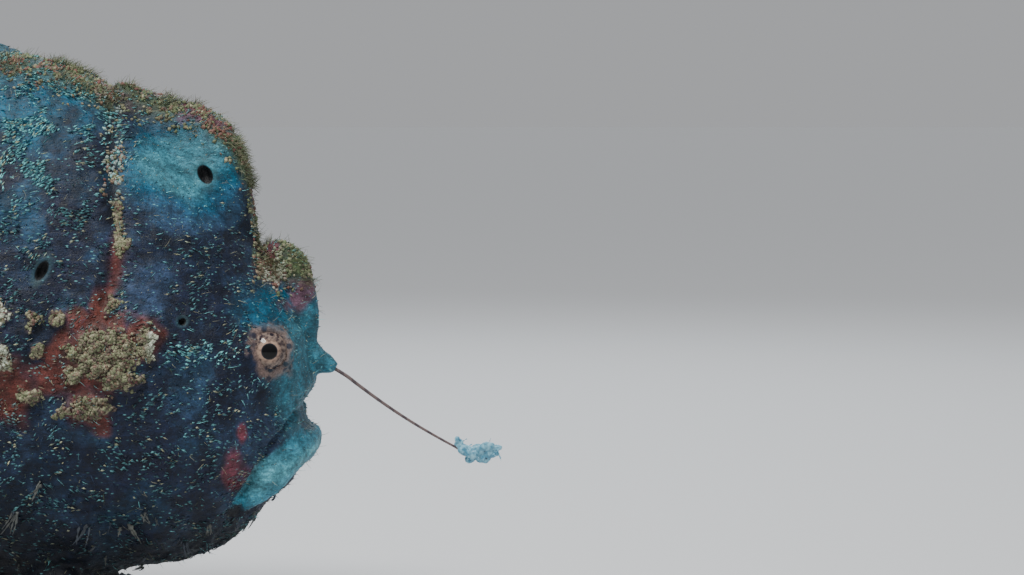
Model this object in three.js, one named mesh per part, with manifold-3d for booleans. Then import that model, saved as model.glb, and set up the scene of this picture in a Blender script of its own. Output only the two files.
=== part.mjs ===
// Painted frogfish, life size, resting on its paired fins with the fishing lure held out in front.
// Millimetres, +Z up, nose towards +X, floor at z = 0. The fish's own x runs back from the snout at x = 0.
import * as THREE from "three";
import { mergeVertices } from "three/addons/utils/BufferGeometryUtils.js";
import Module from "manifold-3d";

const wasm = await Module();
wasm.setup();

// Driving sizes.
const GAP = 0.3; // clearance between neighbouring pieces
const FLOOR = 0;
const TAIL_FIN_TIP = -200; // rearmost point of the tail fin
const LURE_TIP = 36; // foremost point of the lure
const CENTRE_X = (TAIL_FIN_TIP + LURE_TIP) / 2; // the part's origin lies under the middle of its length
const SWEEP_START = -110; // the tail bends to the left behind this
const SWEEP = 7; // sideways shift of the tail fin's tip
const EYE = { x: -10, z: 56.9, radius: 4.3, proud: 1.5 };
const MEMBRANE = 0.7; // fin skin between rays

// Body stations from snout to tail: x, top, bottom, half width, height of the widest level.
const BODY = [
  [-1.6, 49.6, 48.8, 0.3, 49.2],
  [-2.1, 54.5, 43.8, 5.0, 49],
  [-3.6, 60, 37, 9.2, 48.5],
  [-6.6, 66.2, 30.6, 13.2, 48],
  [-11, 73.5, 26.8, 17, 47],
  [-17.5, 84.5, 20.2, 20.8, 46],
  [-26, 94.5, 16.2, 24, 46],
  [-36, 103, 14, 26, 47],
  [-48, 110.3, 11.5, 27, 48],
  [-63, 112.8, 9.8, 27, 49],
  [-80, 111, 9.8, 25.5, 50],
  [-99, 103.5, 14, 21.5, 52],
  [-118, 90, 23.5, 16, 54],
  [-135, 76, 35, 10.5, 55.5],
  [-147, 69.5, 41.5, 7.4, 56],
  [-156, 68, 43.5, 5.2, 56],
];

const clamp01 = (t) => Math.min(1, Math.max(0, t));
const mix = (a, b, t) => a + (b - a) * t;
const bump = (d, r) => Math.exp(-((d / r) ** 2));

// Uniform Catmull-Rom through rows of numbers; s runs from 0 to 1.
function spline(rows, s) {
  const n = rows.length - 1;
  const i = Math.min(n - 1, Math.floor(clamp01(s) * n));
  const t = clamp01(s) * n - i;
  const at = (k) => rows[Math.min(n, Math.max(0, k))];
  const [a, b, c, d] = [at(i - 1), at(i), at(i + 1), at(i + 2)];
  return b.map((_, k) => {
    const m1 = (c[k] - a[k]) / 2;
    const m2 = (d[k] - b[k]) / 2;
    const u = t * t * (3 - 2 * t);
    return mix(b[k], c[k], u) + m1 * t * (1 - t) ** 2 - m2 * t * t * (1 - t);
  });
}

// A point of the bare body at station s and angle a from the top, right side negative y.
function bodyPoint(s, a) {
  const [x, top, bottom, half, level] = spline(BODY, s);
  const up = Math.cos(a) > 0;
  const side = Math.abs(Math.sin(a)) ** (up ? 1.22 : 0.92);
  const z = level + (up ? top - level : level - bottom) * Math.cos(a);
  return new THREE.Vector3(x, -Math.sign(Math.sin(a)) * half * side, z);
}

function stationAt(x) {
  let [lo, hi] = [0, 1];
  for (let k = 0; k < 30; k++) {
    const mid = (lo + hi) / 2;
    if (spline(BODY, mid)[0] > x) lo = mid;
    else hi = mid;
  }
  return (lo + hi) / 2;
}

// Half width of the bare body at a point of its side view.
function flank(x, z) {
  const [, top, bottom, half, level] = spline(BODY, stationAt(x));
  const up = z > level;
  const c = clamp01(Math.abs(z - level) / (up ? top - level : level - bottom));
  return half * Math.sqrt(1 - c * c) ** (up ? 1.22 : 0.92);
}

// Swellings and pits of the flank, in side view: x, z, radius, height.
const RELIEF = [
  [EYE.x, EYE.z, 6.0, 1.7], // low cone that carries the eye
  [-24, 40, 13, 1.6], // cheek
  [-37, 57.8, 7.5, 1.9], // large crust
  [-42, 47.7, 4.5, 1.3], // small crust
  [-55, 61, 6, 1.5], // crust behind the crease
  [-24.7, 63, 1.8, -0.7], // small round pore mark
  [-50, 72.6, 2.2, -0.8], // oval pore mark
  [-83, 84, 2.2, -0.8],
  [-105, 66, 2.0, -0.8],
  [-90, 52, 5, 1.2],
  [-116, 58, 4, 1.0],
  [-70, 33, 8, 1.2],
  [-31, 22, 5, 1.1], // folds of the throat
  [-45, 20, 5, 1.1],
];
// Crease behind the third dorsal spine, top to bottom in side view.
const CREASE = [
  [-40.3, 103.7],
  [-38.3, 94.4],
  [-38, 87],
  [-36.9, 80],
  [-36.4, 72],
  [-40, 62.7],
];

function distanceToLine(line, x, z) {
  let best = 1e9;
  for (let i = 0; i < line.length - 1; i++) {
    const [ax, az] = line[i];
    const [dx, dz] = [line[i + 1][0] - ax, line[i + 1][1] - az];
    const t = clamp01(((x - ax) * dx + (z - az) * dz) / (dx * dx + dz * dz));
    best = Math.min(best, Math.hypot(x - ax - t * dx, z - az - t * dz));
  }
  return best;
}

function relief(x, z) {
  const raised = RELIEF.reduce((sum, [cx, cz, r, h]) => sum + h * bump(Math.hypot(x - cx, z - cz), r), 0);
  return raised - 0.8 * bump(distanceToLine(CREASE, x, z), 1.6);
}

// Manifold from plain arrays, and from any closed three.js geometry.
function solidFrom(positions, triangles) {
  const mesh = new wasm.Mesh({
    numProp: 3,
    vertProperties: new Float32Array(positions),
    triVerts: new Uint32Array(triangles),
  });
  const solid = new wasm.Manifold(mesh);
  if (solid.volume() > 0) return solid;
  for (let i = 0; i < triangles.length; i += 3)
    [triangles[i + 1], triangles[i + 2]] = [triangles[i + 2], triangles[i + 1]];
  return solidFrom(positions, triangles);
}

function solidOf(geometry) {
  geometry.deleteAttribute("normal");
  geometry.deleteAttribute("uv");
  const merged = mergeVertices(geometry, 1e-4);
  return solidFrom(Array.from(merged.attributes.position.array), Array.from(merged.index.array));
}

// Closed tube through rings of points, with a point closing each end.
function loft(rings) {
  const n = rings[0].length;
  const positions = rings.flat().flatMap((p) => [p.x, p.y, p.z]);
  const triangles = [];
  for (let i = 0; i < rings.length - 1; i++)
    for (let j = 0; j < n; j++) {
      const [a, b] = [i * n + j, i * n + ((j + 1) % n)];
      triangles.push(a, b, a + n, b, b + n, a + n);
    }
  const middle = (ring) => ring.reduce((sum, p) => sum.add(p), new THREE.Vector3()).divideScalar(n);
  [rings[0], rings[rings.length - 1]].forEach((ring, last) => {
    const centre = positions.length / 3;
    positions.push(...middle(ring).toArray());
    const base = last ? (rings.length - 1) * n : 0;
    for (let j = 0; j < n; j++) {
      const [a, b] = [base + j, base + ((j + 1) % n)];
      triangles.push(...(last ? [a, b, centre] : [b, a, centre]));
    }
  });
  return solidFrom(positions, triangles);
}

// Limb, spine or lip: an oval section swept along a smooth path.
// Each station is x, y, z, size across the path in its own plane, size sideways.
function limb(stations, { steps = 14, sides = 14, side = [0, 1, 0], grow = 0 } = {}) {
  const rings = [];
  const lateral = new THREE.Vector3(...side);
  for (let i = 0; i <= steps; i++) {
    const s = i / steps;
    const [x, y, z, across, wide] = spline(stations, s);
    const ahead = spline(stations, Math.min(1, s + 0.01));
    const behind = spline(stations, Math.max(0, s - 0.01));
    const along = new THREE.Vector3(ahead[0] - behind[0], ahead[1] - behind[1], ahead[2] - behind[2]).normalize();
    const u = new THREE.Vector3().crossVectors(lateral, along).normalize();
    const w = new THREE.Vector3().crossVectors(along, u);
    const beyond = i === 0 ? -grow : i === steps ? grow : 0;
    const ring = [];
    for (let j = 0; j < sides; j++) {
      const a = (j / sides) * 2 * Math.PI;
      ring.push(
        new THREE.Vector3(x, y, z)
          .addScaledVector(along, beyond)
          .addScaledVector(u, Math.cos(a) * (across + grow))
          .addScaledVector(w, Math.sin(a) * (wide + grow)),
      );
    }
    rings.push(ring);
  }
  return loft(rings);
}

// Fin: a membrane with raised rays. base, middle and tip give the three control points of each ray.
// A grown copy runs a little past the edges, to cut the fin's socket.
function fin({ rays, rows, base, middle, tip, ray, notch = 0.045 }, grow = 0) {
  const columns = 2 * rays;
  const midPoint = (u, v) => {
    const [b, m, t] = [base(v), middle(v), tip(v)];
    return new THREE.Vector3(...b.map((_, k) => (1 - u) ** 2 * b[k] + 2 * u * (1 - u) * m[k] + u * u * t[k]));
  };
  const e = 1e-3;
  const faces = [[], []];
  for (let i = 0; i <= rows; i++)
    for (let j = 0; j <= columns; j++) {
      const crest = j % 2 === 1;
      const v = grow ? mix(-0.02, 1.02, j / columns) : j / columns;
      const u = grow ? mix(-0.05, 1.02, i / rows) : (i / rows) * (crest ? 1 : 1 - notch);
      const du = midPoint(u + e, v).sub(midPoint(u - e, v));
      const dv = midPoint(u, v + e).sub(midPoint(u, v - e));
      const normal = new THREE.Vector3().crossVectors(du, dv).normalize();
      const thick = MEMBRANE + (crest ? ray * (1 - 0.75 * u) : 0);
      const half = (grow ? MEMBRANE + ray : thick) / 2 + grow;
      const at = midPoint(u, v);
      faces[0].push(at.clone().addScaledVector(normal, half));
      faces[1].push(at.clone().addScaledVector(normal, -half));
    }
  const across = columns + 1;
  const count = faces[0].length;
  const positions = faces.flat().flatMap((p) => [p.x, p.y, p.z]);
  const triangles = [];
  for (let i = 0; i < rows; i++)
    for (let j = 0; j < columns; j++) {
      const [a, b, c, d] = [i * across + j, i * across + j + 1, (i + 1) * across + j, (i + 1) * across + j + 1];
      triangles.push(a, b, c, b, d, c);
      triangles.push(a + count, c + count, b + count, b + count, c + count, d + count);
    }
  const wall = (a, b) => triangles.push(b, a, a + count, b, a + count, b + count);
  for (let j = 0; j < columns; j++) {
    wall(j, j + 1);
    wall(rows * across + j + 1, rows * across + j);
  }
  for (let i = 0; i < rows; i++) {
    wall((i + 1) * across, i * across);
    wall(i * across + columns, (i + 1) * across + columns);
  }
  return solidFrom(positions, triangles);
}

function ellipsoid(x, y, z, rx, ry, rz, detail = 12) {
  const g = new THREE.SphereGeometry(1, detail, Math.round(detail * 0.7));
  return solidOf(g.scale(rx, ry, rz).translate(x, y, z));
}

// Region of the side view, as wide as the fish, used to part the body.
function region(points) {
  const shape = new THREE.Shape(points.map(([x, z]) => new THREE.Vector2(x, z)));
  const g = new THREE.ExtrudeGeometry(shape, { depth: 160, bevelEnabled: false });
  return solidOf(g.rotateX(Math.PI / 2).translate(0, 80, 0));
}

// The line moved sideways by d, used to leave a gap along a parting line.
function moved(line, d) {
  return line.map(([x, z], i) => {
    const [a, b] = [line[Math.max(0, i - 1)], line[Math.min(line.length - 1, i + 1)]];
    const length = Math.hypot(b[0] - a[0], b[1] - a[1]);
    return [x - (d * (b[1] - a[1])) / length, z + (d * (b[0] - a[0])) / length];
  });
}

function union(solids) {
  return solids.reduce((sum, s) => sum.add(s));
}

function largest(solid) {
  return solid.decompose().reduce((best, s) => (s.volume() > best.volume() ? s : best));
}

const belowFloor = solidOf(new THREE.BoxGeometry(400, 200, 20).translate(-80, 0, FLOOR - 10));

// Whole body, from which head, jaw, trunk and tail stalk are parted.
function wholeBody() {
  const stations = 46;
  const around = 32;
  const rings = [];
  for (let i = 0; i <= stations; i++) {
    const s = i / stations;
    const ring = [];
    for (let j = 0; j < around; j++) {
      const p = bodyPoint(s, (j / around) * 2 * Math.PI);
      const [, , , half, level] = spline(BODY, s);
      const outward = new THREE.Vector3(0, p.y, (p.z - level) * 0.35).normalize();
      const fade = clamp01(Math.abs(p.y) / 5) * clamp01(half / 6);
      ring.push(p.addScaledVector(outward, relief(p.x, p.z) * fade));
    }
    rings.push(ring);
  }
  return loft(rings);
}

// Lines of the side view along which the body is parted, from the top down.
const MOUTH_LINE = [
  [4, 47.2],
  [-2, 45],
  [-4.1, 43.6],
  [-5.8, 41.2],
  [-8, 38.2],
  [-10, 35],
  [-13.1, 29.4],
  [-15, 26.6],
  [-18.6, 20],
  [-20, 8],
];
const NAPE_LINE = [
  [-45, 125],
  [-43.4, 112],
  [-41.2, 103.7],
  [-39.2, 94.4],
  [-38.9, 87],
  [-37.8, 80],
  [-37.4, 72],
  [-41, 62.7],
  [-54, 50],
  [-62, 32],
  [-62, 0],
];
const RUMP_LINE = [
  [-128, 120],
  [-131, 60],
  [-128, 0],
];

function jawRegion(d) {
  return region([...moved(MOUTH_LINE, d), [40, 8]]);
}

function behind(line, d) {
  return region([...moved(line, d), [-240, 0], [-240, 125]]);
}

// Thick bare lower lip, from one corner of the mouth round the front to the other.
function lowerLip() {
  const stations = [-1, -0.75, -0.45, -0.2, 0, 0.2, 0.45, 0.75, 1].map((t) => {
    const a = (t * Math.PI) / 2;
    const bend = 1 - Math.cos(a);
    const swell = Math.cos(a) ** 0.9;
    return [-5.4 - 9.6 * bend, 12.4 * Math.sin(a), 38 - 11.2 * bend, 1.3 + 3.1 * swell, 0.9 + 3.2 * swell];
  });
  return limb(stations, { steps: 20, sides: 10, side: [0.52, 0, 0.85] });
}

function upperLip() {
  const stations = [-1, -0.6, -0.25, 0, 0.25, 0.6, 1].map((t) => {
    const a = (t * Math.PI) / 2;
    const bend = 1 - Math.cos(a);
    return [-5.6 - 9.4 * bend, 12.6 * Math.sin(a), 45 - 17 * bend, 1.5, 1.3];
  });
  return limb(stations, { steps: 16, sides: 6, side: [0.52, 0, 0.85] });
}

function nostril(side) {
  const rim = [
    [0.45, 0.9],
    [0.7, 1.1],
    [1.0, 0.8],
    [1.25, -1.2],
    [0, -1.2],
    [0, -0.2],
    [0.45, 0.9],
  ];
  const g = new THREE.LatheGeometry(rim.map(([r, h]) => new THREE.Vector2(r, h)), 10);
  g.rotateZ(-Math.PI / 2).rotateZ(side * -0.75);
  return solidOf(g.translate(-4.3, side * (flank(-4.3, 53.5) + 0.1), 53.5));
}

// Dorsal spines. The second lies back against the forehead; the third is a broad fleshy hump.
function secondSpine(grow) {
  return limb(
    [
      [-4.5, 0, 55, 2.2, 2.0],
      [-3.8, 0, 60.5, 2.9, 2.5],
      [-5.2, 0, 66.5, 3.9, 3.1],
      [-7.4, 0, 71.6, 4.2, 3.3],
      [-9.6, 0, 75, 2.9, 2.5],
      [-10.6, 0, 76.6, 0.9, 0.9],
    ],
    { steps: 12, sides: 12, grow },
  );
}

function thirdSpine(grow) {
  const hump = [
    [-12.6, 78, 3.5, 3],
    [-13.5, 83.5, 5.2, 7],
    [-14.6, 92, 6.6, 9.6],
    [-17.8, 98.8, 7.2, 11.2],
    [-23.5, 102.5, 7.2, 11.6],
    [-30.5, 104.6, 6.4, 10.4],
    [-36.5, 106.6, 4.8, 7],
    [-39.6, 107.4, 1.4, 1.8],
  ];
  const rings = [];
  const steps = 15;
  const sides = 18;
  for (let i = 0; i <= steps; i++) {
    const [x, crown, wide, deep] = spline(hump, i / steps);
    const lean = mix(0.9, 0.1, i / steps) * deep * 0.35;
    const beyond = i === 0 ? grow : i === steps ? -grow : 0;
    const ring = [];
    for (let j = 0; j < sides; j++) {
      const a = (j / sides) * 2 * Math.PI;
      const z = crown - deep + Math.cos(a) * (deep + grow);
      ring.push(new THREE.Vector3(x + beyond - lean * (1 - Math.cos(a)), -Math.sin(a) * (wide + grow), z));
    }
    rings.push(ring);
  }
  return loft(rings);
}

// Unpaired fins, in the middle plane.
const dorsalTip = [
  [-58, 113],
  [-63, 115],
  [-75, 119.5],
  [-93, 126.5],
  [-112, 128.5],
  [-130, 123],
  [-146, 110],
  [-157, 92],
];
const DORSAL = {
  rays: 13,
  rows: 6,
  ray: 1.1,
  base: (v) => {
    const x = mix(-59, -146, v);
    return [x, 0, spline(BODY, stationAt(x))[1] - 2.5];
  },
  middle: (v) => {
    const x = mix(-59, -146, v);
    const [tx, tz] = spline(dorsalTip, v);
    return [mix(x, tx, 0.35), 0.8 * Math.sin(v * 9), mix(spline(BODY, stationAt(x))[1], tz, 0.6)];
  },
  tip: (v) => {
    const [x, z] = spline(dorsalTip, v);
    return [x, 1.6 * Math.sin(v * 9 + 0.6), z];
  },
};
const TAIL_ROOT = { x: -153, z: 55.8 };
const TAIL = {
  rays: 9,
  rows: 7,
  ray: 1.2,
  base: (v) => [TAIL_ROOT.x, 0, TAIL_ROOT.z + mix(-10, 10, v)],
  middle: (v) => [TAIL_ROOT.x - 20, 0, TAIL_ROOT.z + mix(-19, 19, v)],
  tip: (v) => {
    const a = mix(-0.72, 0.72, v);
    const reach = TAIL_ROOT.x - TAIL_FIN_TIP;
    return [TAIL_ROOT.x - reach * Math.cos(a) ** 0.9, 1.5 * Math.sin(v * 7), TAIL_ROOT.z + 43 * Math.sin(a)];
  },
};
const analTip = [
  [-117, 8],
  [-126, 3.4],
  [-138, 3.6],
  [-150, 10],
  [-158, 22],
];
const ANAL = {
  rays: 7,
  rows: 6,
  ray: 1.0,
  base: (v) => {
    const x = mix(-112, -144, v);
    return [x, 0, spline(BODY, stationAt(x))[2] + 2.5];
  },
  middle: (v) => {
    const x = mix(-112, -144, v);
    const [tx, tz] = spline(analTip, v);
    return [mix(x, tx, 0.4), 0, mix(spline(BODY, stationAt(x))[2], tz, 0.5)];
  },
  tip: (v) => {
    const [x, z] = spline(analTip, v);
    return [x, 1.0 * Math.sin(v * 7), z];
  },
};

// Paired fins, for the side +1 (left) or -1 (right). The hands lie on the floor.
const SOLE = 0.26; // height of the middle of a ray that lies on the floor

function pectoralArm(side, grow = 0) {
  return limb(
    [
      [-82, side * 13, 41, 11, 8.5],
      [-89, side * 23, 35.5, 10.2, 7.4],
      [-95.5, side * 31.5, 26.5, 8.8, 6.0],
      [-98.5, side * 36.5, 17, 8.0, 4.8],
      [-99, side * 38.8, 10.2, 7.6, 3.4],
      [-98.6, side * 39.8, 6.2, 5.6, 1.6],
    ],
    { steps: 11, sides: 14, side: [0, side * 0.6, 0.8], grow },
  );
}

function pectoralHand(side) {
  const wrist = [-98.6, 39.2, 8.6];
  const spread = (v) => mix(-1.35, 1.2, v);
  return {
    rays: 10,
    rows: 6,
    ray: 1.1,
    notch: 0.09,
    base: (v) => [wrist[0] + 6.4 * Math.sin(spread(v)), side * (wrist[1] + 0.6 * Math.cos(spread(v))), wrist[2]],
    middle: (v) => {
      const a = spread(v);
      return [wrist[0] + 13 * Math.sin(a), side * (wrist[1] + 2 + 9 * Math.cos(a)), SOLE + 0.4];
    },
    tip: (v) => {
      const a = spread(v);
      return [wrist[0] + 22 * Math.sin(a), side * (wrist[1] + 1 + 17 * Math.cos(a)), SOLE];
    },
  };
}

function pelvicArm(side, grow = 0) {
  return limb(
    [
      [-52, side * 8, 22, 5.5, 4.5],
      [-50.5, side * 13.5, 15, 5.2, 4.2],
      [-48, side * 18.4, 9.6, 4.6, 3.4],
      [-46, side * 21, 6.6, 4.0, 2.3],
      [-45, side * 22.2, 5.2, 2.6, 1.2],
    ],
    { steps: 8, sides: 12, side: [0, side * 0.6, 0.8], grow },
  );
}

function pelvicHand(side) {
  const wrist = [-45.6, 21.4, 6.6];
  const spread = (v) => mix(-0.9, 1.45, v);
  return {
    rays: 5,
    rows: 6,
    ray: 1.2,
    notch: 0.1,
    base: (v) => [wrist[0] + 3.4 * Math.sin(spread(v)), side * (wrist[1] + 0.4 * Math.cos(spread(v))), wrist[2]],
    middle: (v) => {
      const a = spread(v);
      return [wrist[0] + 9 * Math.sin(a), side * (wrist[1] + 1 + 7 * Math.cos(a)), SOLE + 0.3];
    },
    tip: (v) => {
      const a = spread(v);
      return [wrist[0] + 17 * Math.sin(a), side * (wrist[1] + 1 + 13 * Math.cos(a)), SOLE];
    },
  };
}

// Loose skin flaps of the throat and flank: x, z in side view, length, width, lean.
const FLAPS = [
  [-55, 28, 5.5, 1.5, -0.3],
  [-46, 21.5, 6.2, 1.4, -0.45],
  [-35.5, 25, 4.2, 2.0, 0.3],
  [-27.5, 18.5, 3.6, 1.3, 0.2],
  [-21, 24.5, 3.0, 1.2, 0.2],
  [-70, 24, 5.0, 1.5, -0.4],
  [-88, 22, 5.0, 1.4, -0.6],
  [-104, 30, 4.2, 1.3, -0.8],
  [-112, 78, 3.6, 1.2, -1.3],
  [-122, 45, 4.0, 1.2, -1.0],
];

function flap([x, z, length, width, lean], side) {
  const y = flank(x, z);
  const out = 0.55;
  const stations = [
    [x, side * (y - 1.6), z + 0.6, width, 0.8],
    [x + lean * 0.6, side * (y + out), z - 0.4, width * 0.95, 0.65],
    [x + lean * length * 0.5, side * (y + out * 2.6), z - length * 0.5, width * 0.75, 0.5],
    [x + lean * length, side * (y + out * 3), z - length, width * 0.3, 0.28],
  ];
  return limb(stations, { steps: 4, sides: 5 });
}

// Eyes, pores and lure.
const eyeY = flank(EYE.x, EYE.z) + 1.5 + EYE.proud - EYE.radius;

function eye(side, grow = 0) {
  return ellipsoid(EYE.x, side * eyeY, EYE.z, EYE.radius + grow, EYE.radius + grow, EYE.radius + grow, 14);
}

function gillPore(side) {
  const rim = [
    [1.0, 1.3],
    [1.5, 1.6],
    [2.2, 1.0],
    [2.8, -1.5],
    [0, -1.5],
    [0, -0.6],
    [1.0, 1.3],
  ];
  const g = new THREE.LatheGeometry(rim.map(([r, h]) => new THREE.Vector2(r, h)), 12);
  if (side < 0) g.rotateZ(Math.PI);
  return solidOf(g.translate(-103, side * (flank(-103, 36) - 0.1), 36));
}

const LURE_ROOT = [2.2, 0, 52.2]; // end of the fleshy base that carries the rod
const LURE_KNOT = [26.4, 0, 36.2]; // where the rod meets the bait

function illicium(grow = 0) {
  const [rx, , rz] = LURE_ROOT;
  const [kx, , kz] = LURE_KNOT;
  const rod = limb(
    [
      [rx - 0.6, 0, rz + 0.3, 0.7, 0.7],
      [rx + 1.2, 0, rz - 0.7, 0.42, 0.42],
      [mix(rx, kx, 0.35), 0, mix(rz, kz, 0.35) + 0.5, 0.34, 0.34],
      [mix(rx, kx, 0.7), 0, mix(rz, kz, 0.7) + 0.4, 0.31, 0.31],
      [kx - GAP, 0, kz + GAP * 0.7, 0.29, 0.29],
    ],
    { steps: 9, sides: 6 },
  );
  const cone = limb(
    [
      [-5.2, 0, 54.6, 3.6 + grow, 3.0 + grow],
      [-3.0, 0, 54.2, 3.3 + grow, 2.8 + grow],
      [-0.8, 0, 53.4, 2.4 + grow, 2.1 + grow],
      [1.1, 0, 52.7, 1.7 + grow, 1.5 + grow],
      [2.2, 0, 52.2, 0.9 + grow, 0.8 + grow],
    ],
    { steps: 8, sides: 10 },
  );
  return grow ? cone : cone.add(rod);
}

// The bait: a small ragged shrimp-like tag of skin with a fringe of blunt filaments.
function esca() {
  const [kx, , kz] = LURE_KNOT;
  const lobes = [
    [0.5, 0, -0.2, 1.1, 0.55, 0.8],
    [1.5, 0.1, -0.9, 1.1, 0.5, 0.8],
    [2.6, 0, -1.9, 1.3, 0.6, 1.2],
    [3.9, -0.1, -2.4, 1.7, 0.7, 1.3],
    [5.4, 0, -2.6, 1.2, 0.6, 1.0],
    [6.6, 0.3, -1.3, 1.5, 0.5, 1.2],
    [8.0, 0.5, -0.6, 1.6, 0.5, 1.5],
  ];
  const body = lobes.map(([x, y, z, rx, ry, rz]) => ellipsoid(kx + x, y, kz + z, rx, ry, rz, 6));
  const fringe = [
    [2.2, -0.2, -2.4, -0.2, -2.2],
    [3.2, 0.5, -2.8, -0.1, -1.9],
    [4.3, -0.6, -3.0, 0.1, -1.6],
    [5.6, 0.4, -2.9, 0.5, -1.7],
    [7.6, 0.8, -1.2, 0.9, -0.9],
    [8.2, 0.2, 0.2, 0.9, 1.2],
  ].map(([x, y, z, dx, dz]) =>
    limb(
      [
        [kx + x, y, kz + z, 0.5, 0.4],
        [kx + x + dx * 0.5, y * 1.3, kz + z + dz * 0.5, 0.4, 0.35],
        [kx + x + dx, y * 1.5, kz + z + dz, 0.3, 0.3],
      ],
      { steps: 2, sides: 5 },
    ),
  );
  return union([...body, ...fringe]);
}

// Assembly. Each host loses a slightly larger copy of what grows from it.
const skin = {
  upper: { color: 0x3a6e80, roughness: 0.62 },
  dark: { color: 0x2a3547, roughness: 0.66 },
  lip: { color: 0x3f7f92, roughness: 0.45 },
  crust: { color: 0x6b7560, roughness: 0.85 },
  fin: { color: 0x33465a, roughness: 0.6 },
  eye: { color: 0x7a675c, roughness: 0.15 },
  lure: { color: 0x79a8b8, roughness: 0.5 },
  rod: { color: 0x7d7a66, roughness: 0.5 },
};

// Gentle sideways bend of the tail, as the resting fish holds it.
function sweep(solid) {
  const length = SWEEP_START - TAIL_FIN_TIP;
  return solid.warp((p) => {
    p[1] += SWEEP * Math.max(0, (SWEEP_START - p[0]) / length) ** 2;
  });
}

const root = new THREE.Group();
root.position.x = -CENTRE_X;

function addNode(name, solid, material) {
  const mesh = largest(sweep(solid)).getMesh();
  const g = new THREE.BufferGeometry();
  g.setAttribute("position", new THREE.BufferAttribute(new Float32Array(mesh.vertProperties), 3));
  g.setIndex(new THREE.BufferAttribute(new Uint32Array(mesh.triVerts), 1));
  g.computeVertexNormals();
  const node = new THREE.Mesh(g, new THREE.MeshStandardMaterial({ metalness: 0, ...material }));
  node.name = name;
  root.add(node);
}

const sides = [
  ["right", -1],
  ["left", 1],
];
const body = wholeBody();
const jaw = body.intersect(jawRegion(0)).add(lowerLip()).subtract(region([...moved(MOUTH_LINE, 0), [-60, 8], [-60, 51.5]]));
let head = body
  .add(upperLip())
  .subtract(jawRegion(-1.5 * GAP))
  .subtract(behind(NAPE_LINE, 0))
  .subtract(secondSpine(GAP))
  .subtract(thirdSpine(GAP))
  .subtract(illicium(GAP));
let trunk = body.intersect(behind(NAPE_LINE, -GAP)).subtract(behind(RUMP_LINE, 0)).subtract(fin(DORSAL, GAP));
let stalk = body
  .intersect(behind(RUMP_LINE, -GAP))
  .subtract(fin(DORSAL, GAP))
  .subtract(fin(TAIL, GAP))
  .subtract(fin(ANAL, GAP));
trunk = trunk.subtract(fin(ANAL, GAP));

for (const [, side] of sides) {
  const flaps = FLAPS.map((f) => [f, flap(f, side)]);
  head = union([head, nostril(side), ...flaps.filter(([f]) => f[0] > -56).map(([, s]) => s)]);
  head = head.subtract(eye(side, GAP)).subtract(jawRegion(-1.5 * GAP)).subtract(pelvicArm(side, GAP));
  trunk = union([trunk, gillPore(side), ...flaps.filter(([f]) => f[0] < -56).map(([, s]) => s)]);
  trunk = trunk.subtract(pectoralArm(side, GAP)).subtract(behind(RUMP_LINE, 0));
}

addNode("head", head, skin.dark);
addNode("lower_jaw", jaw, skin.lip);
addNode("trunk", trunk, skin.dark);
addNode("tail_stalk", stalk, skin.dark);
addNode("second_dorsal_spine", secondSpine(0).subtract(illicium(GAP)), skin.crust);
addNode("third_dorsal_spine", thirdSpine(0), skin.upper);
addNode("illicium", illicium(), skin.rod);
addNode("esca", esca().subtract(illicium()), skin.lure);
addNode("dorsal_fin", fin(DORSAL).subtract(thirdSpine(GAP)), skin.fin);
addNode("tail_fin", fin(TAIL), skin.fin);
addNode("anal_fin", fin(ANAL), skin.fin);
for (const [name, side] of sides) {
  const hand = fin(pectoralHand(side)).subtract(belowFloor).subtract(pectoralArm(side, GAP));
  const foot = fin(pelvicHand(side)).subtract(belowFloor).subtract(pelvicArm(side, GAP));
  addNode("eye_" + name, eye(side), skin.eye);
  addNode("pectoral_arm_" + name, pectoralArm(side), skin.dark);
  addNode("pectoral_fin_" + name, hand, skin.fin);
  addNode("pelvic_arm_" + name, pelvicArm(side), skin.dark);
  addNode("pelvic_fin_" + name, foot, skin.fin);
}

export default root;
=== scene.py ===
"""Painted frogfish, dressed: one skin with spinules, growth, fins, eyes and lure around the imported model."""

import math

import bpy
import numpy as np
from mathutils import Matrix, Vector, noise

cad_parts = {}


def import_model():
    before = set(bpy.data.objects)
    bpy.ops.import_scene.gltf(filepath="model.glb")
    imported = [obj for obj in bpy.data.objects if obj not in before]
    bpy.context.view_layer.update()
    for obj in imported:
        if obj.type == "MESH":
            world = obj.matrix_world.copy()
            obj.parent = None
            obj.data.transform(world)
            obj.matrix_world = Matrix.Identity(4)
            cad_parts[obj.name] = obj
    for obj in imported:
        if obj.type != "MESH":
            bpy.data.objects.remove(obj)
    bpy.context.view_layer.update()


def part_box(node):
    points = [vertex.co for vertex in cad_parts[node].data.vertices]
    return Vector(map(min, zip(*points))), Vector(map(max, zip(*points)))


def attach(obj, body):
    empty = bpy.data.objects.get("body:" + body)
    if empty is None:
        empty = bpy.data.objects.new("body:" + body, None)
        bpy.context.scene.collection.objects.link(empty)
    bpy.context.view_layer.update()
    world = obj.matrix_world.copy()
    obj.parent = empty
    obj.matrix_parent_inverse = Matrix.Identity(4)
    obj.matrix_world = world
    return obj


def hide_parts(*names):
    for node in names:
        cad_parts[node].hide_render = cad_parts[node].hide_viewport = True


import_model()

# Sizes are in millimetres in the fish's own frame: x is 0 at the snout and falls towards the tail,
# z is 0 at the floor, and y is positive on the left. world() moves points to the part's frame.
MM = 0.001
CENTRE_X = -82.0
EYE_X, EYE_Z = -10.0, 56.9
SWEEP_START, SWEEP, TAIL_TIP = -110.0, 7.0, -200.0
VOXEL = 0.5
BAIT_VOXEL = 0.13
TINY = 1e-9
FAR = 1e9
# Powers of the body's section above and below its widest level.
ROUND_TOP, ROUND_BELOW = 1.22, 0.92
RNG = np.random.default_rng(7)

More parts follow.
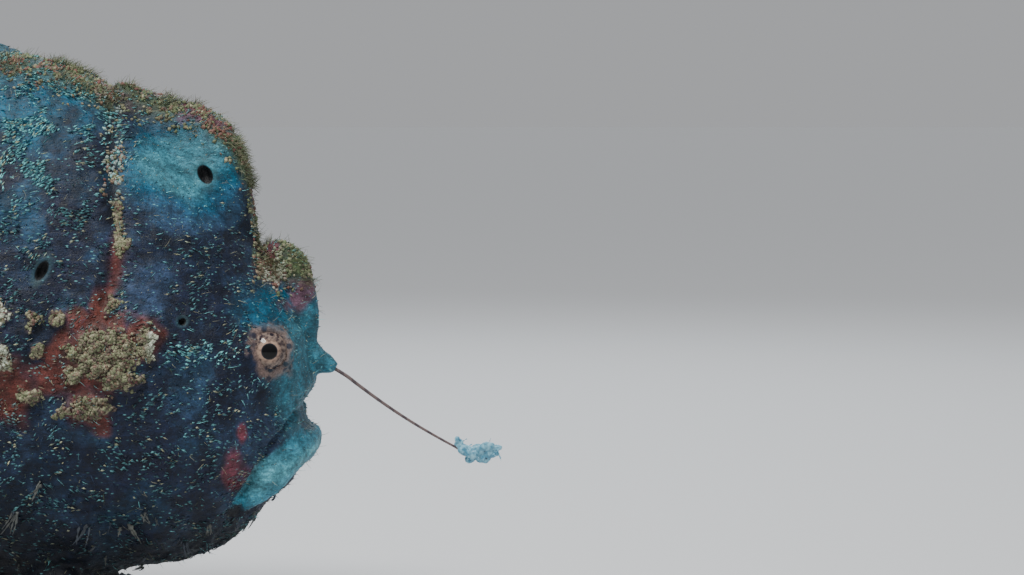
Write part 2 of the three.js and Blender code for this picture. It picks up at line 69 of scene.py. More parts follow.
# Body stations from snout to tail: x, top, bottom, half width, height of the widest level.
BODY = [
    [-1.6, 49.6, 48.8, 0.3, 49.2],
    [-2.1, 54.5, 43.8, 5.0, 49],
    [-3.6, 60, 37, 9.2, 48.5],
    [-6.6, 66.2, 30.6, 13.2, 48],
    [-11, 73.5, 26.8, 17, 47],
    [-17.5, 84.5, 20.2, 20.8, 46],
    [-26, 94.5, 16.2, 24, 46],
    [-36, 103, 14, 26, 47],
    [-48, 110.3, 11.5, 27, 48],
    [-63, 112.8, 9.8, 27, 49],
    [-80, 111, 9.8, 25.5, 50],
    [-99, 103.5, 14, 21.5, 52],
    [-118, 90, 23.5, 16, 54],
    [-135, 76, 35, 10.5, 55.5],
    [-147, 69.5, 41.5, 7.4, 56],
    [-156, 68, 43.5, 5.2, 56],
]


def mix(a, b, t):
    return a + (b - a) * t


def clamp01(t):
    return np.clip(t, 0.0, 1.0)


def smooth(lo, hi, v):
    t = clamp01((v - lo) / (hi - lo))
    return t * t * (3 - 2 * t)


def bump(d, r):
    return np.exp(-((d / r) ** 2))


def unit(v):
    return v / np.maximum(TINY, np.linalg.norm(v, axis=-1, keepdims=True))


def spline(rows, s):
    """Uniform Catmull-Rom through rows of numbers, at each s from 0 to 1."""
    rows = np.asarray(rows, float)
    n = len(rows) - 1
    at = clamp01(np.atleast_1d(np.asarray(s, float))) * n
    i = np.minimum(n - 1, at.astype(int))
    t = (at - i)[:, None]
    a, b, c, d = (rows[np.clip(i + k, 0, n)] for k in (-1, 0, 1, 2))
    m1, m2 = (c - a) / 2, (d - b) / 2
    u = t * t * (3 - 2 * t)
    return b + (c - b) * u + m1 * t * (1 - t) ** 2 - m2 * t * t * (1 - t)


STATION_S = np.linspace(0, 1, 4001)
STATION_X = spline(BODY, STATION_S)[:, 0]


def station_at(x):
    return np.interp(-np.asarray(x, float), -STATION_X, STATION_S)


def flank(x, z):
    """Half width of the bare body at points of its side view."""
    _, top, bottom, half, level = spline(BODY, station_at(np.atleast_1d(x))).T
    up = z > level
    c = clamp01(np.abs(z - level) / np.where(up, top - level, level - bottom))
    return half * np.sqrt(1 - c * c) ** np.where(up, ROUND_TOP, ROUND_BELOW)


# Marks of the flank in side view. Swellings: x, z, radius, height.
SWELLINGS = [
    [EYE_X, EYE_Z, 6.0, 1.7],
    [-24, 40, 13, 1.6],
    [-37, 57.8, 7.5, 1.9],
    [-42, 47.7, 4.5, 1.3],
    [-55, 61, 6, 1.5],
    [-90, 52, 5, 1.2],
    [-116, 58, 4, 1.0],
    [-70, 33, 8, 1.2],
    [-31, 22, 5, 1.1],
    [-45, 20, 5, 1.1],
]
# Pore marks: x, z, half width, half height, lean in radians.
PORES = [
    [-22.0, 89.7, 1.3, 1.85, -0.5],
    [-50.0, 72.6, 0.95, 1.9, 0.5],
    [-24.7, 63.0, 0.7, 0.7, 0],
    [-83, 84, 0.9, 1.4, -0.3],
    [-105, 66, 0.8, 1.2, 0.2],
    [-76, 62, 0.5, 0.6, 0],
    [-128, 58, 0.7, 1.0, 0.3],
]
CREASE = [[-40.3, 103.7], [-38.3, 94.4], [-38, 87], [-36.9, 80], [-36.4, 72], [-40, 62.7]]
MOUTH = [[-3.2, 45.4], [-4.8, 44.5], [-6.8, 42.2], [-9.1, 39.2], [-11.2, 36], [-14.3, 30.4], [-16.2, 27.6]]


def line_distance(line, x, z):
    """Distance in side view from points to a line of several legs."""
    best = np.full(np.shape(x), FAR)
    for (ax, az), (bx, bz) in zip(line, line[1:]):
        dx, dz = bx - ax, bz - az
        t = clamp01(((x - ax) * dx + (z - az) * dz) / (dx * dx + dz * dz))
        best = np.minimum(best, np.hypot(x - ax - t * dx, z - az - t * dz))
    return best


def pore_distance(x, z):
    """1 on the rim of the nearest pore mark, 0 at its middle."""
    best = np.full(np.shape(x), FAR)
    for cx, cz, wide, high, lean in PORES:
        dx, dz = x - cx, z - cz
        across = dx * math.cos(lean) - dz * math.sin(lean)
        up = dx * math.sin(lean) + dz * math.cos(lean)
        best = np.minimum(best, np.hypot(across / wide, up / high))
    return best


# The vertical groove behind the mouth.
CREASE_DEPTH, CREASE_WIDTH = 0.8, 1.6
# Crown of the hump in side view: x and height.
CROWN_X = [-39.6, -36.5, -30.5, -23.5, -17.8, -14.6, -13.5, -12.6]
CROWN_Z = [107.4, 106.6, 104.6, 102.5, 98.8, 92.0, 83.5, 60.0]


def crest(x):
    """Height of the body's top edge, hump included."""
    hump = np.interp(x, CROWN_X, CROWN_Z, left=0, right=0)
    return np.maximum(spline(BODY, station_at(x))[:, 1], hump)


def relief(x, z):
    """How far the flank's swellings stand out, less the depth of the crease."""
    raised = sum(h * bump(np.hypot(x - cx, z - cz), r) for cx, cz, r, h in SWELLINGS)
    return raised - CREASE_DEPTH * bump(line_distance(CREASE, x, z), CREASE_WIDTH)


# Mesh building. Points are arrays of (..., 3) in the fish's frame.
def bend(x):
    """Sideways bend of the tail at x."""
    return SWEEP * np.maximum(0, (SWEEP_START - x) / (SWEEP_START - TAIL_TIP)) ** 2


def world(points):
    """Fish frame in millimetres to the part's frame in metres, with the bend of the tail."""
    p = np.array(points, float)
    p[..., 1] += bend(p[..., 0])
    p[..., 0] -= CENTRE_X
    return p * MM


def fish(points):
    """The part's frame in metres back to the fish's frame, without the bend."""
    p = np.array(points, float) / MM
    p[..., 0] += CENTRE_X
    p[..., 1] -= bend(p[..., 0])
    return p


def link(name, data):
    """A new object in the scene that holds a mesh, a lamp or a camera."""
    obj = bpy.data.objects.new(name, data)
    bpy.context.scene.collection.objects.link(obj)
    return obj


def mesh_object(name, points, faces):
    data = bpy.data.meshes.new(name)
    data.from_pydata(world(points).tolist(), [], faces)
    data.validate()
    data.update()
    return link(name, data)


def loft_faces(rings, around):
    faces = []
    for i in range(rings - 1):
        for j in range(around):
            a, b = i * around + j, i * around + (j + 1) % around
            faces.append((a, b, b + around, a + around))
    faces.append(tuple(range(around))[::-1])
    faces.append(tuple((rings - 1) * around + j for j in range(around)))
    return faces


def body_loft():
    rings, around = 300, 240
    s = np.linspace(0, 1, rings)
    x, top, bottom, half, level = (c[:, None] for c in spline(BODY, s).T)
    a = np.linspace(0, 2 * math.pi, around, endpoint=False)[None, :]
    up = np.cos(a) > 0
    y = -np.sign(np.sin(a)) * half * np.abs(np.sin(a)) ** np.where(up, ROUND_TOP, ROUND_BELOW)
    z = level + np.where(up, top - level, level - bottom) * np.cos(a)
    out_z = (z - level) * 0.35
    length = np.maximum(1e-6, np.hypot(y, out_z))
    push = relief(x + 0 * z, z) * clamp01(np.abs(y) / 5) * clamp01(half / 6)
    p = np.stack([x + 0 * z, y + push * y / length, z + push * out_z / length], -1)
    return mesh_object("body", p.reshape(-1, 3), loft_faces(rings, around))


def limb(name, stations, steps=60, sides=40, side=(0, 1, 0)):
    """Oval section swept along a smooth path.

    Stations are x, y, z, half size in the plane of the path, half size across it.
    """
    s = np.linspace(0, 1, steps + 1)
    path = spline(stations, s)
    after = spline(stations, np.minimum(1, s + 0.01))[:, :3]
    before = spline(stations, np.maximum(0, s - 0.01))[:, :3]
    along = unit(after - before)
    u = unit(np.cross(np.array(side, float), along))
    w = np.cross(along, u)
    a = np.linspace(0, 2 * math.pi, sides, endpoint=False)
    ring = (
        path[:, None, :3]
        + u[:, None] * (np.cos(a)[None, :] * path[:, 3:4])[..., None]
        + w[:, None] * (np.sin(a)[None, :] * path[:, 4:5])[..., None]
    )
    return mesh_object(name, ring.reshape(-1, 3), loft_faces(steps + 1, sides))


# The third dorsal spine from its front foot to its back end: x, crown height, half width, half depth.
HUMP = [
    [-12.6, 78, 3.5, 3],
    [-13.5, 83.5, 5.2, 7],
    [-14.6, 92, 6.6, 9.6],
    [-17.8, 98.8, 7.2, 11.2],
    [-23.5, 102.5, 7.2, 11.6],
    [-30.5, 104.6, 6.4, 10.4],
    [-36.5, 106.6, 4.8, 7],
    [-39.6, 107.4, 1.4, 1.8],
]


def third_spine():
    rings, sides = 90, 80
    s = np.linspace(0, 1, rings)
    x, crown, wide, deep = (c[:, None] for c in spline(HUMP, s).T)
    lean = mix(0.9, 0.1, s)[:, None] * deep * 0.35
    a = np.linspace(0, 2 * math.pi, sides, endpoint=False)[None, :]
    p = np.stack([x - lean * (1 - np.cos(a)), -np.sin(a) * wide, crown - deep + np.cos(a) * deep], -1)
    return mesh_object("hump", p.reshape(-1, 3), loft_faces(rings, sides))


# Stations for limb().
SECOND_SPINE = [
    [-4.5, 0, 55, 2.2, 2.0],
    [-3.8, 0, 60.5, 2.9, 2.5],
    [-5.2, 0, 66.5, 3.9, 3.1],
    [-7.4, 0, 71.6, 4.2, 3.3],
    [-9.6, 0, 75, 2.9, 2.5],
    [-10.6, 0, 76.6, 0.9, 0.9],
]
LURE_CONE = [
    [-5.2, 0, 54.6, 3.6, 3.0],
    [-3.0, 0, 54.2, 3.3, 2.8],
    [-0.8, 0, 53.4, 2.4, 2.1],
    [1.1, 0, 52.7, 1.7, 1.5],
    [2.2, 0, 52.2, 0.9, 0.8],
]
PECTORAL_ARM = [
    [-82, 13, 41, 11, 8.5],
    [-89, 23, 35.5, 10.2, 7.4],
    [-95.5, 31.5, 26.5, 8.8, 6.0],
    [-98.5, 36.5, 17, 8.0, 4.8],
    [-99, 38.8, 10.2, 7.6, 3.4],
    [-98.6, 39.8, 6.2, 5.6, 1.6],
]
PELVIC_ARM = [
    [-52, 8, 22, 5.5, 4.5],
    [-50.5, 13.5, 15, 5.2, 4.2],
    [-48, 18.4, 9.6, 4.6, 3.4],
    [-46, 21, 6.6, 4.0, 2.3],
    [-45, 22.2, 5.2, 2.6, 1.2],
]


def lower_lip():
    stations = [lip_path(t) for t in np.linspace(-1, 1, 9)]
    return limb("lower_lip", stations, steps=90, side=(0.52, 0, 0.85))


def arm(name, side, rows):
    """One arm. The rows are for the left side, and side -1 mirrors them."""
    stations = [[x, side * y, z, long, wide] for x, y, z, long, wide in rows]
    return limb(f"{name}_{side}", stations, side=(0, side * 0.6, 0.8))


# Fins. Each gives base, middle and tip control points for v from 0 to 1 across its rays.
DORSAL_TIP = [
    [-58, 113],
    [-63, 115],
    [-75, 119.5],
    [-93, 126.5],
    [-112, 128.5],
    [-130, 123],
    [-146, 110],
    [-157, 92],
]
ANAL_TIP = [[-117, 8], [-126, 3.4], [-138, 3.6], [-150, 10], [-158, 22]]
SOLE = 0.26
# Hand fins: first and last angle, wrist, and three arcs of half length, offset, depth and height.
PECTORAL = ((-1.35, 1.2), (-98.6, 39.2), ((6.4, 0, 0.6, 8.6), (13, 2, 9, SOLE + 0.4), (22, 1, 17, SOLE)))
PELVIC = ((-0.9, 1.45), (-45.6, 21.4), ((3.4, 0, 0.4, 6.6), (9, 1, 7, SOLE + 0.3), (17, 1, 13, SOLE)))


def triple(x, y, z):
    return np.stack(np.broadcast_arrays(x, y, z), -1)


def dorsal(v):
    x = mix(-59, -146, v)
    top = spline(BODY, station_at(x))[:, 1]
    tx, tz = spline(DORSAL_TIP, v).T
    return (
        triple(x, 0, top - 2.5),
        triple(mix(x, tx, 0.35), 0.8 * np.sin(v * 9), mix(top, tz, 0.6)),
        triple(tx, 1.6 * np.sin(v * 9 + 0.6), tz),
    )


def tail(v):
    a = mix(-0.72, 0.72, v)
    return (
        triple(-153.0, 0, 55.8 + mix(-10, 10, v)),
        triple(-173.0, 0, 55.8 + mix(-19, 19, v)),
        triple(-153 - 47 * np.cos(a) ** 0.9, 1.5 * np.sin(v * 7), 55.8 + 43 * np.sin(a)),
    )


def anal(v):
    x = mix(-112, -144, v)
    bottom = spline(BODY, station_at(x))[:, 2]
    tx, tz = spline(ANAL_TIP, v).T
    return (
        triple(x, 0, bottom + 2.5),
        triple(mix(x, tx, 0.4), 0, mix(bottom, tz, 0.5)),
        triple(tx, np.sin(v * 7), tz),
    )


def hand(side, spread, wrist, arcs):
    """The shape of a fin that fans out from a wrist and comes down to the floor."""

    def shape(v):
        a = mix(*spread, v)
        x, y = wrist
        return [triple(x + r * np.sin(a), side * (y + off + out * np.cos(a)), z) for r, off, out, z in arcs]

    return shape


def thickness(kind, u, v, rays):
    """Half thickness of a fin: a thin membrane with a rounded ray at the middle of each of its strips."""
    phase = (v * rays) % 1.0 - 0.5
    ridge = np.exp(-((phase / 0.2) ** 2))
    membrane, ray, root = kind
    taper = mix(1.0, 0.5, u) * smooth(1.0, 0.93, u)
    blade = (membrane + ray * ridge * mix(1.0, 0.55, u)) * mix(taper, 1.0, 0.12)
    return blade + root * (1 - smooth(0, 0.35, u))


def margin(v, rays, notch):
    """How far out the edge reaches: each ray's tip stands past the web between rays."""
    phase = np.abs((v * rays) % 1.0 - 0.5) * 2
    return 1 - notch * phase**1.7


def fin_faces(rows, cols):
    """Faces of two sheets of points, joined round the edge."""
    n = (rows + 1) * (cols + 1)

    def at(i, j):
        return i * (cols + 1) + j

    faces = []
    for i in range(rows):
        for j in range(cols):
            a, b, c, d = at(i, j), at(i, j + 1), at(i + 1, j + 1), at(i + 1, j)
            faces.append((d, c, b, a))
            faces.append((n + a, n + b, n + c, n + d))
    rim = [at(0, j) for j in range(cols)]
    rim += [at(i, cols) for i in range(rows)]
    rim += [at(rows, j) for j in range(cols, 0, -1)]
    rim += [at(i, 0) for i in range(rows, 0, -1)]
    for a, b in zip(rim, rim[1:] + rim[:1]):
        faces.append((a, b, n + b, n + a))
    return faces


def fin(name, shape, rays, kind, notch, rows, per_ray, ripple=0.0):
    """A closed fin: a sheet on each side of its middle surface."""
    cols = rays * per_ray
    u = np.linspace(0, 1, rows + 1)
    v = np.linspace(0, 1, cols + 1)
    middle = np.zeros((rows + 1, cols + 1, 3))
    half = np.zeros((rows + 1, cols + 1))
    for j, vj in enumerate(v):
        base, mid, tip = shape(vj)
        t = (u * margin(vj, rays, notch))[:, None]
        middle[:, j] = (1 - t) ** 2 * base + 2 * t * (1 - t) * mid + t * t * tip
        half[:, j] = thickness(kind, u, vj, rays)
    normal = unit(np.cross(np.gradient(middle, axis=0), np.gradient(middle, axis=1)))
    wave = ripple * np.sin(u * 26)[:, None] * np.sin(v * rays * 2 * math.pi)[None, :]
    middle = middle + normal * wave[..., None]
    thick = normal * half[..., None]
    points = np.concatenate([(middle + thick).reshape(-1, 3), (middle - thick).reshape(-1, 3)])
    return mesh_object(name, points, fin_faces(rows, cols))


def join(objects, name):
    for o in bpy.context.selected_objects:
        o.select_set(False)
    for o in objects:
        o.select_set(True)
    bpy.context.view_layer.objects.active = objects[0]
    bpy.ops.object.join()
    made = bpy.context.view_layer.objects.active
    made.name = made.data.name = name
    return made


def remesh(obj, voxel_mm, passes):
    """One closed surface over everything in obj, relaxed."""
    m = obj.modifiers.new("remesh", "REMESH")
    m.mode = "VOXEL"
    m.voxel_size = voxel_mm * MM
    s = obj.modifiers.new("relax", "SMOOTH")
    s.factor = 0.5
    s.iterations = passes
    bpy.context.view_layer.objects.active = obj
    for mod in ("remesh", "relax"):
        bpy.ops.object.modifier_apply(modifier=mod)


def coords(obj):
    p = np.empty(len(obj.data.vertices) * 3)
    obj.data.vertices.foreach_get("co", p)
    return p.reshape(-1, 3)


def normals(obj):
    n = np.empty(len(obj.data.vertices) * 3)
    obj.data.vertices.foreach_get("normal", n)
    return n.reshape(-1, 3)


def set_coords(obj, p):
    obj.data.vertices.foreach_set("co", np.ascontiguousarray(p, float).ravel())
    obj.data.update()


def shade_smooth(obj):
    obj.data.polygons.foreach_set("use_smooth", [True] * len(obj.data.polygons))


def noise_at(p, scale, seed=0.0, octaves=3):
    """Fractal noise about 0, for points in millimetres and a feature size in millimetres."""
    out = np.empty(len(p))
    q = p / scale + seed
    for i, c in enumerate(q):
        out[i] = noise.fractal(Vector(c), 1.0, 2.0, octaves)
    return out


# The camera looks from the fish's right side, a little downward. The picture's left edge cuts the fish off.
IMAGE_WIDTH_MM = 196.9
AIM_X, AIM_Z = 36.0, 67.8
DISTANCE, ELEVATION = 500.0, math.radians(4.0)
SENSOR_MM = 36.0


def make_camera():
    data = bpy.data.cameras.new("camera")
    data.sensor_width = SENSOR_MM
    data.lens = SENSOR_MM * DISTANCE / IMAGE_WIDTH_MM
    cam = link("camera", data)
    aim = Vector(((AIM_X - CENTRE_X) * MM, 0, AIM_Z * MM))
    back = Vector((0, -math.cos(ELEVATION), math.sin(ELEVATION)))
    cam.location = aim + back * DISTANCE * MM
    cam.rotation_mode = "QUATERNION"
    cam.rotation_quaternion = (-back).to_track_quat("-Z", "Y")
    bpy.context.scene.camera = cam


def linear(rgb):
    c = np.asarray(rgb, float) / 255
    return np.where(c <= 0.04045, c / 12.92, ((c + 0.055) / 1.055) ** 2.4)


def rgba(colour):
    return [*map(float, colour), 1.0]


def paint(*rgb):
    """A shader's colour from levels of 0 to 255."""
    return rgba(linear(rgb))


DEEP = linear((6, 22, 42))
VIOLET = linear((22, 26, 48))
BLUE = linear((6, 76, 100))
MIST = linear((136, 214, 216))
GREY = linear((40, 58, 84))
RUST = linear((92, 45, 36))
ROSE = linear((112, 50, 58))
CREAM = linear((166, 164, 134))
MOSS = linear((84, 98, 66))
PALE = linear((206, 214, 196))
# Near black, laid on only as painted shade: on the belly, in the upper crease, in the fold under the lip and
# along the mouth's cleft.
PAINTED_SHADE = linear((6, 8, 12))
TAN = linear((122, 102, 94))
BROWN = linear((104, 84, 58))


def blend_in(colour, other, share):
    return colour + (other - colour) * clamp01(share)[:, None]


def layered(colour, layers):
    """Blends colours in by their shares, one after another."""
    for other, share in layers:
        colour = blend_in(colour, other, share)
    return colour


def spot(x, z, cx, cz, rx, rz):
    """1 inside a soft oval of the side view."""
    return 1 - smooth(0.55, 1.15, np.hypot((x - cx) / rx, (z - cz) / rz))


# Ovals of the side view, as x, z and two half sizes: crusts, and the rust coloured skin round them.
CRUSTS = [
    [-38.2, 57.5, 7.4, 5.3],
    [-30.5, 59.6, 2.2, 4.0],
    [-35.8, 52.7, 4.2, 2.0],
    [-43.8, 53.6, 1.9, 1.3],
    [-37.2, 66.0, 1.1, 2.0],
    [-41.0, 47.9, 3.9, 2.5],
    [-46.0, 46.6, 2.0, 1.2],
    [-52.5, 49.8, 2.2, 1.6],
    [-57.4, 65.0, 2.4, 3.2],
    [-56.6, 56.6, 2.4, 3.4],
    [-51.0, 63.6, 1.5, 1.4],
    [-46.8, 64.2, 1.8, 1.1],
    [-50.2, 58.2, 1.2, 1.8],
    [-62.5, 51.0, 5.0, 5.0],
    [-90, 50, 5.6, 4.0],
    [-84.5, 54, 2.4, 2.0],
    [-118, 63, 4.0, 2.8],
    [-76, 38, 4.4, 2.6],
    [-100, 80, 4.0, 2.4],
    [-69, 90, 3.2, 2.2],
]
RUSTS = [
    [-39.3, 68, 2.2, 4.6],
    [-42.8, 63.0, 4.4, 3.0],
    [-46.2, 57.3, 3.0, 4.4],
    [-46.7, 52.3, 6.4, 3.2],
    [-40.5, 53.4, 4.6, 2.2],
    [-38, 58, 7.6, 5.8],
    [-31.8, 59.8, 2.7, 4.6],
    [-36, 64, 3.6, 2.2],
    [-55.7, 50, 4.6, 6],
    [-41.5, 48.2, 4.8, 3.4],
    [-90, 53, 9, 6.5],
    [-112, 67, 8, 5],
    [-128, 50, 6, 4],
    [-73, 39, 6, 4],
]
# Ovals on the hump and the shoulder whose colour varies inside them.
HUMP_PATCH, HUMP_LIGHT = (-25, 91, 13.5, 12), (-26, 92, 9, 6)
SHOULDER_PATCH = (-56, 106, 17, 13)
# Plain patches of the flank in the order they are laid on: colour, oval, share.
PATCHES = (
    (DEEP, (-43.5, 91, 5, 7), 0.8),
    (mix(BLUE, MIST, 0.1), (-2.0, 53, 7.5, 18), 0.92),
    (BLUE, (-8.4, 65, 7.5, 5.5), 0.75),
    (GREY, (-31, 68.5, 5.5, 7), 0.9),
    (GREY, (-12, 40, 8, 9), 0.6),
)
# Pink skin behind the corner of the mouth, laid on after the crease.
PINKS = (
    (ROSE, (-13.6, 42.2, 1.5, 1.8), 0.8),
    (ROSE, (-15.2, 35.5, 2.6, 4.6), 0.75),
)
# Smooth skin that has few flecks: oval, share of them missing.
SMOOTH_SKIN = (
    ((-25, 88, 12, 12), 0.9),
    ((-1, 55, 7, 17), 0.85),
    ((-31, 68.5, 4.5, 5.5), 0.9),
    ((-43.5, 91, 4.5, 7), 0.8),
)


def crust_mask(x, z):
    return np.max([spot(x, z, *c) for c in CRUSTS], axis=0)


def ragged_crust(p):
    """The crusts with uneven edges."""
    shift_x = 1.5 * noise_at(p, 2.6, 3.1)
    shift_z = 1.5 * noise_at(p, 2.6, 8.3)
    return crust_mask(p[:, 0] + shift_x, p[:, 2] + shift_z)


def marks(p):
    """Smooth masks of the fish's markings at points in its own frame."""
    x, z = p[:, 0], p[:, 2]
    warp = noise_at(p, 9, 3.1)
    warp2 = noise_at(p, 9, 8.7)
    wx, wz = x + 3.2 * warp, z + 3.2 * warp2
    top = crest(x)
    return {
        "x": x,
        "z": z,
        "wx": wx,
        "wz": wz,
        "warp": warp,
        "cloud": noise_at(p, 22, 1.7),
        "blotch": noise_at(p, 6, 5.3),
        "fine": noise_at(p, 2.2, 9.1),
        "back": smooth(-7, 0, z - top) * smooth(67, 71, z),
        "crust": ragged_crust(p),
        "crease": bump(line_distance(CREASE, wx * 0.25 + x * 0.75, z), 1.0),
    }


def patches(rows, wx, wz):
    return [(colour, spot(wx, wz, *oval) * share) for colour, oval, share in rows]


def tint(m):
    """Ground colour of the skin from its masks, with painted shade in the upper crease and on the belly."""
    wx, wz, cloud, blotch, crease = (m[key] for key in ("wx", "wz", "cloud", "blotch", "crease"))
    open_blue = smooth(0.1, 0.6, cloud + 0.35 * blotch) * mix(0.2, 0.4, smooth(45, 85, m["z"]))
    low = smooth(82, 76, m["z"])
    return layered(np.tile(DEEP, (len(wx), 1)), [
        (VIOLET, 0.35 + 1.1 * cloud),
        (GREY, smooth(0.05, 0.5, blotch) * 0.45),
        (BLUE, open_blue),
        (blend_in(BLUE, GREY * 1.6, smooth(90, 80, wz) * 0.7), spot(wx, wz, *HUMP_PATCH) * 0.9),
        (MIST, spot(wx, wz, *HUMP_LIGHT) * 0.14),
        (BLUE * 0.95, spot(wx, wz, *SHOULDER_PATCH) * (0.75 + 1.2 * blotch)),
        *patches(PATCHES, wx, wz),
        (RUST, np.max([spot(wx, wz, *r) for r in RUSTS], axis=0) * 0.85),
        # Painted shade in the groove of the crease above its rust line; the rust below is the skin's own
        # colour.
        (PAINTED_SHADE, crease * (1 - low) * 0.7),
        (RUST, crease * low * 0.8),
        *patches(PINKS, wx, wz),
        *growth_layers(m),
    ])


def growth_layers(m):
    """The colours of crusts and back, and painted shade on the belly, laid on last."""
    x, z, fine, warp, blotch, back = (m[key] for key in ("x", "z", "fine", "warp", "blotch", "back"))
    return [
        (ROSE, spot(x + 2 * fine, z + 2 * warp, -4.6, 66.4, 3.0, 3.0) * 0.6),
        (TAN * 0.75, m["crust"] * (0.6 + 0.5 * fine)),
        (MOSS * 0.8, back * (0.6 + 0.9 * blotch)),
        (ROSE * 0.8, back * smooth(0.1, 0.5, m["cloud"] - blotch) * 0.7),
        # Painted shade: the belly darkens towards the floor.
        (PAINTED_SHADE, smooth(34, 14, z + 3 * warp) * 0.8),
    ]


def lip_path(t):
    """A station of the lower lip, as in limb(), for t from -1 at the right corner to 1 at the left."""
    a = t * math.pi / 2
    turn = 1 - math.cos(a)
    swell = max(0.0, math.cos(a)) ** 0.5
    return [-5.2 - 9.6 * turn, 13.3 * math.sin(a), 38.9 - 11.6 * turn, 1.3 + 3.2 * swell, 1.0 + 3.7 * swell]


def from_lip(p):
    """Distance beyond the lip's own surface, and how far below its path each point lies, from -1 to 1."""
    best = np.full(len(p), FAR)
    below = np.zeros(len(p))
    for t in np.linspace(-1, 1, 61):
        x, y, z, r, _ = lip_path(t)
        d = p - (x, y, z)
        far = np.linalg.norm(d, axis=1)
        near = far - r < best
        best = np.where(near, far - r, best)
        below = np.where(near, (-0.5 * d[:, 0] - 0.86 * d[:, 2]) / np.maximum(far, 0.1), below)
    return best, below


def lip_share(p):
    """1 on the lower lip."""
    away, below = from_lip(p)
    return (1 - smooth(0.3, 1.3, away)) * smooth(0.72, 0.36, below) * smooth(-0.95, -0.75, below)


def under_lip(p):
    """1 in the fold between the lower lip and the chin."""
    away, below = from_lip(p)
    return (1 - smooth(1.2, 2.8, away)) * smooth(0.5, 0.8, below)


def write_floats(obj, **values):
    for name, v in values.items():
        layer = obj.data.attributes.new(name, "FLOAT", "POINT")
        layer.data.foreach_set("value", np.asarray(v, np.float32))


def write_attributes(obj, colour, **values):
    attribute = obj.data.attributes.new("tint", "FLOAT_COLOR", "POINT")
    colours = np.concatenate([np.clip(colour, 0, 1), np.ones((len(colour), 1))], axis=1)
    attribute.data.foreach_set("color", colours.astype(np.float32).ravel())
    write_floats(obj, **values)


class Graph:
    """Short calls for building a material's nodes."""

    def __init__(self, name):
        self.material = bpy.data.materials.new(name)
        self.material.use_nodes = True
        self.nodes = self.material.node_tree.nodes
        self.links = self.material.node_tree.links
        self.shader = self.nodes["Principled BSDF"]

    def node(self, kind, inputs=None, **settings):
        made = self.nodes.new(kind)
        for key, value in settings.items():
            setattr(made, key, value)
        for key, value in (inputs or {}).items():
            self.put(made.inputs[key], value)
        return made

    def put(self, socket, value):
        if isinstance(value, bpy.types.NodeSocket):
            self.links.new(value, socket)
        else:
            socket.default_value = value

    def math(self, operation, a, b=0.0):
        return self.node("ShaderNodeMath", {0: a, 1: b}, operation=operation).outputs[0]

    def product(self, a, b):
        return self.math("MULTIPLY", a, b)

    def mix(self, share, a, b, how="MIX"):
        made = self.node("ShaderNodeMix", data_type="RGBA", blend_type=how)
        for i, value in ((0, share), (6, a), (7, b)):
            self.put(made.inputs[i], value)
        return made.outputs[2]

    def band(self, value, low, high, to_low=0.0, to_high=1.0):
        made = self.node("ShaderNodeMapRange", {0: value, 1: low, 2: high, 3: to_low, 4: to_high})
        made.interpolation_type = "SMOOTHSTEP"
        return made.outputs[0]

    def attribute(self, name, output="Fac"):
        return self.node("ShaderNodeAttribute", attribute_name=name).outputs[output]

    def place(self, scale=(1, 1, 1)):
        """Object coordinates in millimetres, times scale."""
        at = self.node("ShaderNodeTexCoord").outputs["Object"]
        grown = self.node("ShaderNodeVectorMath", {0: at, 1: [s / MM for s in scale]}, operation="MULTIPLY")
        return grown.outputs[0]

    def noise(self, per_mm, detail=3.0, rough=0.55, place=None):
        inputs = {"Vector": place or self.place(), "Scale": per_mm, "Detail": detail, "Roughness": rough}
        return self.node("ShaderNodeTexNoise", inputs).outputs["Fac"]

    def cells(self, per_mm, place=None):
        inputs = {"Vector": place or self.place(), "Scale": per_mm}
        return self.node("ShaderNodeTexVoronoi", inputs).outputs["Distance"]

    def finish(self, colour, rough, bump_height=None, bump_mm=0.0):
        self.put(self.shader.inputs["Base Color"], colour)
        self.put(self.shader.inputs["Roughness"], rough)
        if bump_height is not None:
            inputs = {"Height": bump_height, "Distance": bump_mm * MM, "Strength": 1.0}
            self.put(self.shader.inputs["Normal"], self.node("ShaderNodeBump", inputs).outputs["Normal"])
        return self.material


def times(g, colour, value):
    """Colour made lighter or darker by a number."""
    grey = g.node("ShaderNodeCombineColor", {0: value, 1: value, 2: value}).outputs[0]
    return g.mix(1.0, colour, grey, "MULTIPLY")


def halo_over(g, colour, mottle, grain):
    """The spotted ring of bare skin round each eye."""
    spots = g.band(g.cells(0.62), 0.46, 0.24)
    ground = times(g, rgba(TAN), g.band(grain, 0.3, 0.7, 0.55, 1.3))
    ring_colour = g.mix(g.product(spots, 0.85), ground, rgba(VIOLET))
    share = g.product(g.attribute("halo"), g.band(mottle, 0.25, 0.5, 0.35, 0.9))
    return g.mix(share, colour, ring_colour)


def pores_over(g, colour):
    """Dark pits with a faint pale edge."""
    pore = g.attribute("pore")
    colour = g.mix(g.band(pore, 2.2, 1.2, 0.0, 0.05), colour, rgba(MIST))
    return g.mix(g.band(pore, 1.16, 0.94), colour, paint(7, 10, 14))


